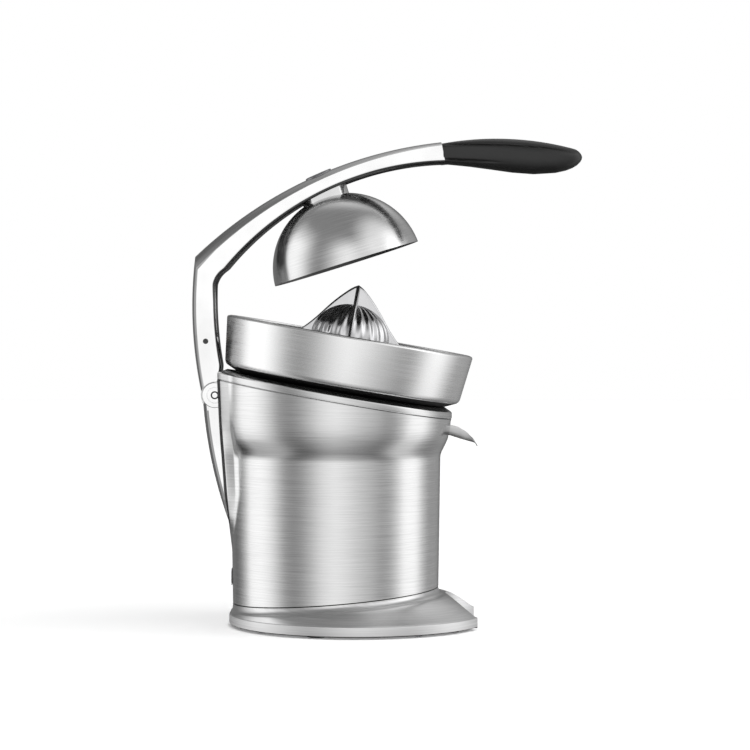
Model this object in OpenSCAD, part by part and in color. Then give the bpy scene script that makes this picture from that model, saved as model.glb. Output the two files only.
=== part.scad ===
// Lever citrus juice press, millimetres. +Z is up and +X is the front, where the spout and grip are.
// Lengths in the X-Z plane are first worked out from the axis of the upright body, and every
// sub-part is then shifted back so that the origin lies below the middle of the whole press.

/* [Base] */
// Radius of the round cast base
base_r = 118.5; // [114:0.5:122]
// How far the base's centre lies ahead of the body's axis
base_ahead = 20; // [17:0.5:23]
// Height of the top of the base's rim
rim_top = 11; // [10:0.5:13]
// Gap under the base that the feet fill
foot_gap = 1.5; // [1:0.1:2.5]
// Radius of a rubber foot
foot_r = 9; // [7:0.5:11]
// Radius of the bay in the front where the glass stands
bay_r = 49.5; // [44:0.5:52]
// Width of the land between the body and the bay
bay_land = 7; // [6:0.5:10]
// Wall of the base casting
base_wall = 4; // [3:0.5:5]
// Thickness of the steel bottom plate
plate_t = 2; // [1.5:0.1:3]
// Radius of the ballast weight
ballast_r = 68; // [50:1:72]

/* [Body shell] */
// Radius of the body at the floor line
body_r_low = 95; // [92:0.5:96]
// Radius of the body at the crease under its flare
body_r_mid = 97; // [95:0.5:99]
// Radius of the body at its top
body_r_top = 107.6; // [106:0.2:109]
// Height of the crease where the flare starts
flare_z = 157.5; // [150:0.5:162]
// Height over which the body flares out
flare_h = 18; // [14:0.5:24]
// Height of the seam between body and base, on the body's axis
seam_z = 27.6; // [25:0.2:32]
// Slope of that seam, rising to the front
seam_tilt = 4.6; // [2:0.2:6]
// Thickness of the steel body shell
shell_t = 1.2; // [0.8:0.1:2]

/* [Rear spine] */
// Distance of the spine's flat back behind the body's axis, at the top
spine_back = 108.4; // [106:0.2:111]
// Half width of the flat back, at the top
spine_flat = 34; // [32:0.5:38]
// Half width of the spine where it meets the body, at the top
spine_half = 53; // [48:0.5:56]

/* [Deck and bowl] */
// Tilt of the deck, bowl and cone, down to the front
deck_tilt = 9.8; // [8:0.2:11]
// Distance of the bowl's rim centre ahead of the body's axis
bowl_x = 13.3; // [11:0.1:15]
// Height of the bowl's rim centre
bowl_z = 265.4; // [262:0.2:269]
// Outer radius of the bowl at its rim
bowl_r = 115; // [112:0.5:116]
// Outer radius of the bowl at the bottom of its wall
bowl_foot_r = 110; // [106:0.5:112]
// Height of the bowl's outer wall
bowl_h = 41.6; // [36:0.2:44]
// Thickness of the bowl's sheet
bowl_t = 2; // [1.2:0.1:3]
// Depth of the deck's seam with the body below the bowl's rim
deck_drop = 57.9; // [56:0.1:60]
// Height of the collar ring on top of the body
collar_h = 6.5; // [5:0.1:7]
// Thickness of the deck floor
deck_t = 3; // [2:0.1:4]
// Distance of the drain from the bowl's axis
drain_x = 84; // [80:0.5:86]
// Radius of the drain hole
drain_r = 8; // [6:0.5:9]

/* [Cone and filter] */
// Height of the cone's fin tips above the bowl's rim
cone_tip = 49; // [44:0.5:52]
// Radius of the cone's skirt
cone_r = 55; // [50:0.5:58]
// Number of tall fins
fin_count = 4; // [3:1:6]
// Thickness of a tall fin
fin_t = 4; // [3:0.5:5]
// Number of low ridges between two fins
ridge_count = 4; // [2:1:5]
// Outer radius of the filter basket
basket_r = 84; // [80:0.5:86]
// Height of the filter basket's wall
basket_h = 24; // [18:0.5:26]
// Number of slots round the filter basket
slot_count = 36; // [24:1:40]

/* [Spout] */
// Outer width of the spout's trough
spout_w = 24; // [20:0.5:28]
// Wall of the trough
spout_t = 1.4; // [1:0.1:2]
// Reach of the spout's tip ahead of the body's axis
spout_reach = 131.6; // [128:0.2:135]
// Height of the spout's tip
spout_tip_z = 165.4; // [162:0.2:168]
// Rise from the spout's tip to the upper edge of its root
spout_rise = 19.1; // [18:0.1:20]

/* [Drive] */
// Radius of the drive shaft
shaft_r = 5; // [4:0.5:6]
// Gear module
gear_m = 1; // [1:1:1]
// Teeth on the motor's pinion
motor_teeth = 12; // [12:1:14]
// Teeth on the lay shaft's pinion
lay_teeth = 14; // [12:1:16]
// Distance between the motor's axis and the lay shaft
lay_gap = 36; // [34:1:36]
// Radius of the motor's can
motor_r = 32; // [30:0.5:34]
// Length of the motor's can
motor_h = 70; // [60:1:76]
// Travel of the cone that closes the switch
plunge = 2; // [1:0.1:2]

/* [Lever hinge] */
// Distance of the fixed hinge pin behind the body's axis
pin_back = 110; // [109:0.2:111]
// Height of the fixed hinge pin
pin_z = 213; // [211:0.5:215]
// Distance from the fixed pin to the arm's pin
link_len = 50; // [50:1:50]
// Lean of the link to the rear
link_lean = 9.8; // [8:0.2:11]
// Teeth of a full circle of the fixed sector
sector_teeth = 48; // [48:1:48]
// Teeth of the idler
idler_teeth = 16; // [16:1:16]
// Teeth of a full circle of the arm's sector
arm_teeth = 20; // [20:1:20]
// Angle through which the link swings back
link_swing = 19.5; // [15:0.5:20]
// Radius of the bracket's knuckle
knuckle_r = 12.3; // [11:0.1:13]
// Radius of the fixed hinge pin
pin_r = 5; // [4:0.5:5.5]
// Radius of the arm's pin
arm_pin_r = 4; // [3:0.5:4]

/* [Lever arm] */
// Half width of the arm at the hinge
arm_half = 25; // [25:0.5:27]
// Half width of the arm at the grip
arm_half_grip = 14.5; // [13:0.5:16]
// Wall of the arm's casting
arm_t = 2.2; // [2:0.1:3]
// Distance of the arm's bend behind its pin
bend_back = 11.1; // [10:0.1:12]
// Height of the arm's bend above its pin
bend_up = 76.6; // [72:0.2:80]
// Distance of the grip's root ahead of the arm's pin
arm_reach = 216; // [206:0.5:222]
// Height of the grip's root above the arm's pin
arm_rise = 183.8; // [180:0.2:188]
// Radius of the crown line from the bend to the grip
crown_line_r = 387.5; // [360:0.5:420]
// Radius of the rounded crown across the arm
crown_r = 35; // [32:0.5:50]
// Radius of the under edge of the arm
under_line_r = 266.8; // [255:0.2:285]
// Radius of the arm's back below the bend
back_line_r = 382; // [360:1:420]
// Radius of the arm's front edge below the bend
front_line_r = 341; // [320:1:380]
// Depth of the arm where the grip starts
arm_depth = 20.7; // [19:0.1:23]

/* [Grip] */
// Length of the grip
grip_len = 130; // [120:0.5:140]
// Half width of the grip at its widest
grip_half = 17; // [15:0.5:19]
// Depth of the grip at its middle
grip_depth = 27; // [24:0.5:30]

/* [Dome] */
// Radius of the dome's rim
dome_r = 69.2; // [64:0.2:72]
// Height of the dome
dome_h = 65.3; // [62:0.1:68]
// Thickness of the dome's sheet
dome_t = 1.5; // [1:0.1:2.5]
// Gap from the dome's rim down to the level of the bowl's rim, with the arm pressed down
dome_gap = -4.6; // [-6:0.1:-3]

/* [Hidden] */
$fn = 64;

steel = [0.80, 0.81, 0.82];
dark_steel = [0.45, 0.46, 0.47];
black = [0.08, 0.08, 0.09];
brass = [0.78, 0.62, 0.32];
white_plastic = [0.88, 0.88, 0.86];
eps = 0.01;

// Running clearance of a shaft in its hole, and the gap between plain neighbours
run_fit = 0.05;
gap = 0.4;

// ---- Points and arcs in the X-Z plane ----
function turned(v, a) = [v[0] * cos(a) + v[1] * sin(a), -v[0] * sin(a) + v[1] * cos(a)];
function lerp(a, b, t) = a + (b - a) * t;
// Centre of the arc of radius r from p to q that bulges to the left of the way from p to q
function arc_centre(p, q, r) =
    let (d = q - p, s = norm(d), h = sqrt(r * r - s * s / 4))
    (p + q) / 2 + [d[1], -d[0]] / s * h;
function angle_of(v) = atan2(v[1], v[0]);
function arc_points(p, q, r, n) =
    let (c = arc_centre(p, q, r), a = angle_of(p - c), b = angle_of(q - c),
         sweep = (b - a > 180) ? b - a - 360 : (b - a < -180) ? b - a + 360 : b - a)
    [for (i = [0:n]) c + r * [cos(a + sweep * i / n), sin(a + sweep * i / n)]];
function back_to_front(list) = [for (i = [len(list) - 1:-1:0]) list[i]];
// Height on the upper side of a circle, above x
function height_on(c, r, x) = c[1] + sqrt(r * r - (x - c[0]) * (x - c[0]));
function behind_on(c, r, z) = c[0] - sqrt(r * r - (z - c[1]) * (z - c[1]));

// ---- Hinge points ----
fixed_pin = [-pin_back, pin_z];
link_dir = [-sin(link_lean), cos(link_lean)];
arm_pin_at = fixed_pin + link_len * link_dir;
// The idler meshes with the fixed sector, and the arm's sector with the idler
sector_r = gear_m * sector_teeth / 2;
idler_r = gear_m * idler_teeth / 2;
arm_gear_r = gear_m * arm_teeth / 2;
idler_at = fixed_pin + (sector_r + idler_r) * link_dir;
arm_turn = link_swing * sector_teeth / arm_teeth;

// ---- Lines of the arm ----
bend = arm_pin_at + [-bend_back, bend_up];
root_top = arm_pin_at + [arm_reach, arm_rise];
root_low = root_top + [3.7, -arm_depth];
tail = arm_pin_at + [-3, -57.3];
throat_high = arm_pin_at + [19.3, 65.7];
throat_low = arm_pin_at + [8.5, 51.5];
skirt = arm_pin_at + [13.8, -22.3];
crown_c = arc_centre(bend, root_top, crown_line_r);
back_c = arc_centre(tail, bend, back_line_r);
under_c = arc_centre(throat_high, root_low, under_line_r);
arm_back_x = back_c[0] - back_line_r;
grip_tip_x = root_top[0] + grip_len;
origin_x = (arm_back_x + grip_tip_x) / 2;
// Radius across the arm's back below the bend, flatter than the crown
back_crown_r = 96;

// ---- Y layers of the hinge, counted from the middle plane ----
gear_half = 4;
spring_in = gear_half + 2;
link_in = 15;
link_out = 18;
cheek_in = arm_half + 1;
cheek_out = arm_half + 4;
pocket_half = cheek_out + gap;

// ---- Levels along the bowl's axis ----
seam_a = -deck_drop;
collar_a = seam_a + collar_h;
deck_low = seam_a - deck_t;
bowl_floor_a = -bowl_h - 8.5;
bush_top = -50;
bush_low = -65;
box_top = -67.5;
box_roof = 3;
out_gear_top = -76;
out_gear_t = 8;
flange_top = -86;
flange_t = 2.5;
shaft_low = flange_top - flange_t;
wheel_top = -92;
wheel_t = 6;
box_low = -104;
plate_a = box_low - 3;
motor_top = plate_a - gap;
motor_low = motor_top - motor_h;
out_teeth = 2 * lay_gap / gear_m - lay_teeth;
wheel_teeth = 2 * lay_gap / gear_m - motor_teeth;
tip_gap = 2;
box_r = max(out_teeth, wheel_teeth) * gear_m / 2 + gear_m + tip_gap + 2.5;
hub_r = 9;
head_r = 3.6;
gear_corner = max(box_r - 1, motor_r + head_r + gap);

// ---- Placing ----
module place() { translate([-origin_x, 0, 0]) children(); }
module deck_frame() { translate([bowl_x, 0, bowl_z]) rotate([0, deck_tilt, 0]) children(); }
module seam_frame() { translate([0, 0, seam_z]) rotate([0, -seam_tilt, 0]) children(); }
module both_sides() { children(); mirror([0, 1, 0]) children(); }
// A rod along Y from y0 to y1, through the point p of the X-Z plane
module rod(p, r, y0, y1) { translate([p[0], y0, p[1]]) rotate([-90, 0, 0]) cylinder(r = r, h = y1 - y0); }
// A flat shape of the X-Z plane from y0 to y1
module slab(y0, y1) { translate([0, y1, 0]) rotate([90, 0, 0]) linear_extrude(y1 - y0) children(); }
module ring(r_out, r_in, h) {
    difference() {
        cylinder(r = r_out, h = h);
        translate([0, 0, -1]) cylinder(r = r_in, h = h + 2);
    }
}
module at_corners(r, n, start) { for (i = [0:n - 1]) rotate([0, 0, start + i * 360 / n]) translate([r, 0, 0]) children(); }

// ---- Gears ----
// Teeth are involute, with a 25 degree pressure angle, a short addendum and a little backlash
pressure = 25;
backlash = 0.12;
function involute(a) = tan(a) - a * PI / 180;
function tooth_half(n, r) =
    let (rp = gear_m * n / 2, rb = rp * cos(pressure), a = (r > rb) ? acos(rb / r) : 0)
    90 / n - backlash / (2 * rp) * 180 / PI + (involute(pressure) - involute(a)) * 180 / PI;
function gear_points(n) =
    let (rp = gear_m * n / 2, root = rp - 1.1 * gear_m, tip = rp + 0.8 * gear_m,
         rb = max(root + 0.1 * gear_m, rp * cos(pressure)), steps = [root, rb, (rb + tip) / 2, tip])
    [for (i = [0:n - 1]) each concat(
        [for (r = steps) let (a = 360 * i / n - tooth_half(n, r)) r * [cos(a), sin(a)]],
        [for (r = back_to_front(steps)) let (a = 360 * i / n + tooth_half(n, r)) r * [cos(a), sin(a)]])];
module gear(n, h, turn) { rotate([0, 0, turn]) linear_extrude(h) polygon(gear_points(n)); }
module wedge(r, a0, a1) {
    polygon(concat([[0, 0]], [for (i = [0:8]) let (a = lerp(a0, a1, i / 8)) 1.3 * r * [cos(a), sin(a)]]));
}
// Part of a gear in the X-Z plane, from angle a0 to a1, with a hub
module sector(n, p, turn, a0, a1, r_hub, bore) {
    slab(-gear_half, gear_half) translate(p) difference() {
        union() {
            circle(r_hub);
            intersection() {
                rotate(turn) polygon(gear_points(n));
                wedge(gear_m * n / 2, a0, a1);
            }
        }
        circle(bore);
    }
}
link_angle = angle_of(link_dir);

// ---- Base ----
bay_x = body_r_low + bay_land + bay_r;
module base_disc(r, z0, z1) { translate([base_ahead, 0, z0]) cylinder(r = r, h = z1 - z0, $fn = 96); }
module bay(grow) { translate([bay_x, 0, -1]) cylinder(r = bay_r + grow, h = seam_z + 40, $fn = 96); }
apron_drop = 6.6;
apron_out = 7.7;
cavity_top = rim_top - 3;
casting_bore = body_r_low - 8;
boss_r = 6;
screw_r = 2;
// The sloping apron, and the fillet between it and the foot of the body
module apron() {
    fillet = [for (i = [0:6]) [body_r_low + apron_out * (1 - cos(15 * i)), -apron_drop * sin(15 * i)]];
    hull() {
        translate([base_ahead, 0, rim_top - 3]) cylinder(r = base_r - 2.2, h = 2.7, $fn = 40);
        seam_frame() translate([0, 0, -apron_drop - 1.3]) cylinder(r = body_r_low + apron_out + 0.6, h = 1, $fn = 40);
    }
    seam_frame() rotate_extrude($fn = 96)
        polygon(concat([[casting_bore - 8, 0]], fillet,
                       [[body_r_low + apron_out, -apron_drop - 2], [casting_bore - 8, -apron_drop - 2]]));
}
module base_casting() {
    place() color(steel) difference() {
        union() {
            translate([base_ahead, 0, 0]) rotate_extrude($fn = 96) polygon([
                [0, foot_gap], [base_r - 4, foot_gap], [base_r - 1.2, foot_gap + 1.6], [base_r, foot_gap + 4.5],
                [base_r - 1, rim_top], [0, rim_top]]);
            intersection() {
                apron();
                base_disc(base_r - 1.5, 0, seam_z * 3);
            }
            seam_frame() translate([0, 0, -1]) ring(body_r_low - shell_t - gap, body_r_low - shell_t - 4, 7, $fn = 96);
        }
        bay(0);
        difference() {
            base_disc(base_r - base_wall, 0, cavity_top);
            bay(base_wall);
            at_base_screws() cylinder(r = boss_r, h = cavity_top + 1);
        }
        base_disc(base_r - base_wall, 0, foot_gap + plate_t);
        translate([0, 0, cavity_top - 1]) cylinder(r = casting_bore, h = seam_z + 40, $fn = 96);
        at_base_screws() cylinder(r = screw_r, h = cavity_top);
    }
}
module at_base_screws() {
    for (a = [60, 140, 220, 300]) translate([base_ahead, 0, 0]) rotate([0, 0, a])
        translate([base_r - base_wall - boss_r + 1.5, 0, 0]) children();
}
module at_feet() {
    for (a = [35, 110, 180, 250, 325]) translate([base_ahead, 0, 0]) rotate([0, 0, a])
        translate([base_r - base_wall - foot_r - 4, 0, 0]) children();
}
foot_stem_r = 3;
module base_plate() {
    place() color(dark_steel) difference() {
        base_disc(base_r - base_wall - gap, foot_gap, foot_gap + plate_t);
        bay(base_wall + gap);
        at_feet() cylinder(r = foot_stem_r, h = rim_top);
        at_base_screws() cylinder(r = screw_r, h = rim_top);
    }
}
ballast_h = 13;
module ballast() {
    place() color(dark_steel) translate([0, 0, foot_gap + plate_t]) ring(ballast_r, 12, ballast_h);
}
module rubber_feet() {
    place() color(black) at_feet() union() {
        cylinder(r = foot_r, h = foot_gap);
        cylinder(r = foot_stem_r, h = foot_gap + plate_t);
        translate([0, 0, foot_gap + plate_t]) cylinder(r = foot_stem_r + 1, h = 1.5);
    }
}
module base_screws() {
    place() color(dark_steel) at_base_screws() union() {
        cylinder(r = screw_r, h = cavity_top - 0.5);
        translate([0, 0, foot_gap - 1]) cylinder(r = 3.6, h = 1);
    }
}

// ---- Body ----
// Outline of the body from its axis out, grown by a given amount
module body_profile(grow, low, high) {
    polygon([[0, low], [body_r_low + grow, low], [body_r_mid + grow, flare_z],
             [lerp(body_r_mid, body_r_top, 0.81) + grow, flare_z + flare_h],
             [lerp(body_r_mid, body_r_top, 0.93) + grow, flare_z + 1.6 * flare_h],
             [body_r_top + grow, flare_z + 2.4 * flare_h], [body_r_top + grow, high], [0, high]]);
}
body_high = bowl_z - 20;
spine_low = 76;
// One level of the spine: z, its back, its flat half width, its flank and the half width there
module spine_level(z, back, flat, flank, half) {
    translate([0, 0, z]) linear_extrude(0.1)
        polygon([[-back, -flat], [-back, flat], [-flank, half], [-60, half], [-60, -half], [-flank, -half]]);
}
module spine(inset) {
    hull() {
        spine_level(body_high, spine_back - inset, spine_flat, spine_back - 15 - inset, spine_half - inset);
        spine_level(flare_z, spine_back - 4 - inset, spine_flat - 4, spine_back - 20.5 - inset, spine_half - 11 - inset);
        spine_level(95, body_r_low + 2.7 - inset, spine_flat - 14, body_r_low - 4 - inset, spine_half - 22 - inset);
        spine_level(spine_low, body_r_low + 0.5 - inset, 4, body_r_low - 2 - inset, 14 - inset);
    }
}
module body_form() {
    rotate_extrude($fn = 96) body_profile(0, 0, body_high);
    spine(0);
}
module body_inside(fit) {
    rotate_extrude($fn = 96) body_profile(-shell_t - fit, 0, body_high);
    spine(shell_t + fit);
}
module hinge_pocket(grow) {
    translate([-spine_back - 40, -pocket_half - grow, pocket_low - grow])
        cube([40 + pocket_depth + grow, 2 * (pocket_half + grow), 80]);
}
pocket_low = pin_z - 23;
pocket_depth = 12;
pocket_floor_x = -spine_back + pocket_depth;
// The opening in the body's front that the spout passes through
spout_root_z = spout_tip_z + spout_rise;
mouth_low = spout_root_z - 11;
mouth_high = spout_root_z + 2.2;
mouth_half = spout_w / 2 + gap;
module mouth() {
    translate([70, -mouth_half, mouth_low]) cube([60, 2 * mouth_half, mouth_high - mouth_low]);
}
gland_z = 44;
gland_r = 8;
gland_back = lerp(body_r_low, body_r_mid, gland_z / flare_z);
module body_shell() {
    place() color(steel) difference() {
        body_form();
        body_inside(0);
        deck_frame() translate([0, 0, seam_a]) cylinder(r = 3 * bowl_r, h = 200);
        seam_frame() translate([0, 0, -200]) cylinder(r = 3 * base_r, h = 200);
        hinge_pocket(0);
        mouth();
        translate([-body_r_mid, 0, gland_z]) rotate([0, 90, 0]) cylinder(r = gland_r - 1.5, h = 20, center = true);
        at_bracket_screws() cylinder(r = screw_r, h = 60, center = true);
    }
}
module at_bracket_screws() {
    for (z = [pocket_low - 18, pocket_low - 52]) translate([-spine_back, 0, z]) rotate([0, 90, 0]) children();
}
well_r = bowl_foot_r - 15;
module top_deck() {
    place() color(dark_steel) difference() {
        union() {
            intersection() {
                body_form();
                deck_frame() translate([0, 0, seam_a]) cylinder(r = 2 * bowl_r, h = collar_h);
            }
            intersection() {
                body_inside(gap);
                deck_frame() translate([0, 0, deck_low]) cylinder(r = 2 * bowl_r, h = deck_t);
            }
            deck_frame() at_gear_corners() translate([0, 0, box_top]) cylinder(r = 5, h = deck_low - box_top);
            deck_frame() translate([0, 0, bush_low]) cylinder(r = 13, h = deck_low - bush_low + 1);
        }
        deck_frame() translate([0, 0, seam_a - eps]) cylinder(r = well_r, h = collar_h + 1, $fn = 96);
        deck_frame() translate([0, 0, bush_low - 1]) cylinder(r = 8, h = 40);
        deck_frame() translate([drain_x, 0, deck_low - 1]) cylinder(r = drain_r + 3.5, h = 20);
        deck_frame() at_gear_corners() translate([0, 0, box_top - 1]) cylinder(r = screw_r, h = 9);
        hinge_pocket(0);
    }
}
// The four screw places round the gear box
module at_gear_corners() {
    for (x = [-1, 1], y = [0, lay_gap]) translate([x * gear_corner, y, 0]) children();
}
module deck_bush() {
    place() color(brass) deck_frame() difference() {
        union() {
            translate([0, 0, bush_low]) cylinder(r = 8, h = bush_top - bush_low);
            translate([0, 0, seam_a]) cylinder(r = 11, h = 3);
        }
        translate([0, 0, bush_low - 1]) cylinder(r = shaft_r + run_fit, h = bush_top - bush_low + 2);
    }
}

// ---- Bowl, filter and cone ----
tube_r = 16;
foot_ring_r = 74;
module juice_bowl() {
    place() color(steel) deck_frame() difference() {
        union() {
            rotate_extrude($fn = 96) polygon([
                [tube_r - bowl_t, bowl_floor_a], [well_r - 2, bowl_floor_a + 1.5], [well_r + 1.5, -bowl_h - 6.4],
                [bowl_foot_r - 1.5, -bowl_h - 1], [bowl_foot_r, -bowl_h + 1.5], [bowl_r, 0], [bowl_r - 1.2, 1.6],
                [bowl_r - 4, 2.3], [bowl_r - 5, 1], [bowl_r - bowl_t - 1.5, 0],
                [bowl_foot_r - bowl_t, -bowl_h + 1.5], [bowl_foot_r - bowl_t - 2, -bowl_h + bowl_t],
                [well_r - 2, -bowl_h - 6.4 + bowl_t], [tube_r, bowl_floor_a + bowl_t],
                [tube_r, bowl_floor_a + 26], [tube_r - bowl_t, bowl_floor_a + 26]]);
            translate([0, 0, seam_a]) ring(foot_ring_r, foot_ring_r - 3, bowl_floor_a - seam_a + 2);
            translate([drain_x, 0, deck_low]) cylinder(r = drain_r + 1.5, h = bowl_floor_a - deck_low + bowl_t);
        }
        translate([drain_x, 0, deck_low - 1]) cylinder(r = drain_r, h = 40);
    }
}
basket_a = bowl_floor_a + 7;
basket_t = 1.2;
basket_foot_r = 3;
// Level of the bowl's floor inside, at the radius r
function bowl_floor(r) = lerp(bowl_floor_a + bowl_t, -bowl_h - 6.4 + bowl_t, (r - tube_r) / (well_r - 2 - tube_r));
basket_foot_a = bowl_floor(foot_ring_r + basket_foot_r) + 0.05;
module filter_basket() {
    place() color(steel) deck_frame() difference() {
        union() {
            rotate_extrude($fn = 96) polygon([
                [tube_r + 1, basket_a + 3], [tube_r + 6, basket_a], [basket_r - 4, basket_a],
                [basket_r, basket_a + 4], [basket_r + 1, basket_a + basket_h], [basket_r + 5, basket_a + basket_h],
                [basket_r + 5, basket_a + basket_h + basket_t], [basket_r + 1 - basket_t, basket_a + basket_h + basket_t],
                [basket_r - basket_t, basket_a + 4.6], [basket_r - 4.6, basket_a + basket_t],
                [tube_r + 6.4, basket_a + basket_t], [tube_r + 1, basket_a + 3 + 1.4 * basket_t]]);
            at_corners(foot_ring_r, 3, 60) translate([0, 0, basket_foot_a])
                cylinder(r = basket_foot_r, h = basket_a + 0.2 - basket_foot_a);
        }
        for (i = [0:slot_count - 1]) rotate([0, 0, (i + 0.5) * 360 / slot_count]) {
            translate([basket_r - 22, -0.8, basket_a - 0.5]) cube([15, 1.6, basket_t + 1]);
            if (i % 2 == 0) translate([34, -0.8, basket_a - 0.5]) cube([20, 1.6, basket_t + 1]);
        }
    }
}
cone_low = -22;
// The cone's dome between its fins, and the outer edge of its fins
dome_line = [for (i = [0:10]) let (a = 90 * i / 10) [0.66 * cone_r * cos(a), -1 + 0.65 * cone_tip * sin(a)]];
fin_line = [for (i = [0:10]) let (a = 90 * i / 10) [0.92 * cone_r * pow(cos(a), 0.8), -3 + (cone_tip + 3) * pow(sin(a), 1.15)]];
cone_bore_top = 14;
module juicing_cone() {
    place() color(steel) deck_frame() difference() {
        union() {
            rotate_extrude() polygon(concat(
                [[0, cone_low + 14], [cone_r - 8, cone_low + 12], [cone_r - 1.6, cone_low], [cone_r, cone_low],
                 [cone_r, -15], [0.92 * cone_r, -3]], dome_line));
            for (i = [0:fin_count - 1]) rotate([0, 0, -90 + i * 360 / fin_count])
                rotate([90, 0, 0]) translate([0, 0, -fin_t / 2]) linear_extrude(fin_t)
                    polygon(concat([[0, -12], [0.92 * cone_r, -12]], fin_line));
            for (i = [0:fin_count - 1], k = [1:ridge_count])
                rotate([0, 0, -90 + (i + k / (ridge_count + 1)) * 360 / fin_count])
                    rotate([90, 0, 0]) translate([0, 0, -0.6]) linear_extrude(1.2)
                        polygon(concat([[0, -6], [0.87 * cone_r, -6]],
                                       [for (p = dome_line) [1.12 * p[0], p[1] + 1.3]]));
            translate([0, 0, cone_low + 1]) cylinder(r = shaft_r + 3, h = 20);
        }
        translate([0, 0, cone_low - 1]) cylinder(r = shaft_r + run_fit, h = cone_bore_top - cone_low + 1);
    }
}
shoulder_a = -27;
module drive_shaft() {
    place() color(steel) deck_frame() union() {
        translate([0, 0, shaft_low]) cylinder(r = shaft_r, h = cone_bore_top - 1 - shaft_low);
        translate([0, 0, shaft_low]) cylinder(r = 12, h = flange_t);
        translate([0, 0, shoulder_a]) cylinder(r = 11, h = 2.5);
    }
}
// A coil spring of round wire along Z, as one tube
module coil(mean_r, wire_r, length, turns) {
    steps = 16 * turns;
    sides = 6;
    points = [for (i = [0:steps], j = [0:sides - 1]) let (t = 360 * i / 16, a = 360 * j / sides)
        [(mean_r + wire_r * cos(a)) * cos(t), (mean_r + wire_r * cos(a)) * sin(t),
         wire_r + (length - 2 * wire_r) * i / steps + wire_r * sin(a)]];
    walls = [for (i = [0:steps - 1], j = [0:sides - 1]) let (k = (j + 1) % sides)
        each [[i * sides + j, (i + 1) * sides + k, i * sides + k], [i * sides + j, (i + 1) * sides + j, (i + 1) * sides + k]]];
    polyhedron(points, concat(walls, [[for (j = [0:sides - 1]) j]], [[for (j = [sides - 1:-1:0]) steps * sides + j]]));
}
module return_spring() {
    place() color(steel) deck_frame() translate([0, 0, bush_top + 0.3])
        coil(shaft_r + 3, 0.8, shoulder_a - bush_top - 0.6, 6);
}

// ---- Chute and spout ----
spout_pin_at = [body_r_top - 8.1, spout_root_z - 4.5];
spout_pin_r = 1.5;
chute_t = 1.5;
chute_in = mouth_half + gap;
chute_end = spout_pin_at[0] - 6;
chute_rear = drain_x - drain_r - 5;
// Height of the deck's underside at x
function deck_under(x) = bowl_z - (x - bowl_x) * tan(deck_tilt) + deck_low / cos(deck_tilt);
chute_low = spout_root_z - 6.5;
module chute_side(t, top) {
    polygon([[chute_rear + t, chute_low + 7 + t], [chute_end + t, chute_low + t],
             [chute_end + t, deck_under(chute_end) + top], [chute_rear + t, deck_under(chute_rear) + top]]);
}
module juice_chute() {
    place() color(white_plastic) difference() {
        union() {
            difference() {
                slab(-chute_in - chute_t, chute_in + chute_t) chute_side(0, -0.2);
                slab(-chute_in, chute_in) chute_side(chute_t, 20);
            }
            both_sides() slab(chute_in, chute_in + chute_t) {
                translate(spout_pin_at) circle(2.8);
                translate([chute_end - 2, spout_pin_at[1] - 2]) square([spout_pin_at[0] - chute_end + 2, 4.5]);
            }
        }
        rod(spout_pin_at, spout_pin_r, -30, 30);
    }
}
// The trough seen from the side: its root lies under the chute's end, and its upper edge falls to the tip
lip = [spout_reach, spout_tip_z];
trough_rear = chute_end - 4;
trough_floor = spout_root_z - 9.2;
trough_edge_r = 36;
trough_floor_r = 160;
trough_top = concat([[trough_rear, trough_floor + 1.9], [spout_pin_at[0] - 4.9, trough_floor + 1.9],
                     [spout_pin_at[0] - 3.9, spout_root_z - 0.5]],
                    arc_points([body_r_top - 1.5, spout_root_z], lip, trough_edge_r, 8));
trough_low = concat([[trough_rear, trough_floor]],
                    arc_points([body_r_top - 7, trough_floor], lip + [-2.2, 1.9], trough_floor_r, 4));
module spout() {
    place() color(steel) intersection() {
        difference() {
            union() {
                slab(-spout_w / 2, spout_w / 2) polygon(concat(trough_top, back_to_front(trough_low)));
                rod(spout_pin_at, 4, -spout_w / 2, spout_w / 2);
            }
            slab(-spout_w / 2 + spout_t, spout_w / 2 - spout_t)
                polygon(concat([[trough_rear - 1, spout_root_z + 9], [spout_reach + 9, spout_root_z + 9], lip + [9, 0.4]],
                               [for (p = back_to_front(trough_low)) p + [0, spout_t]],
                               [[trough_rear - 1, trough_floor + spout_t]]));
            rod(spout_pin_at, spout_pin_r + run_fit, -30, 30);
        }
        union() {
            translate([spout_reach - spout_w / 2 - 3, 0, 0]) cylinder(r = spout_w / 2 + 3, h = bowl_z);
            translate([0, -spout_w / 2, 0]) cube([spout_reach - spout_w / 2, spout_w, bowl_z]);
        }
    }
}
module spout_pin() {
    place() color(steel) rod(spout_pin_at, spout_pin_r, -chute_in - chute_t, chute_in + chute_t);
}

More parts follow.
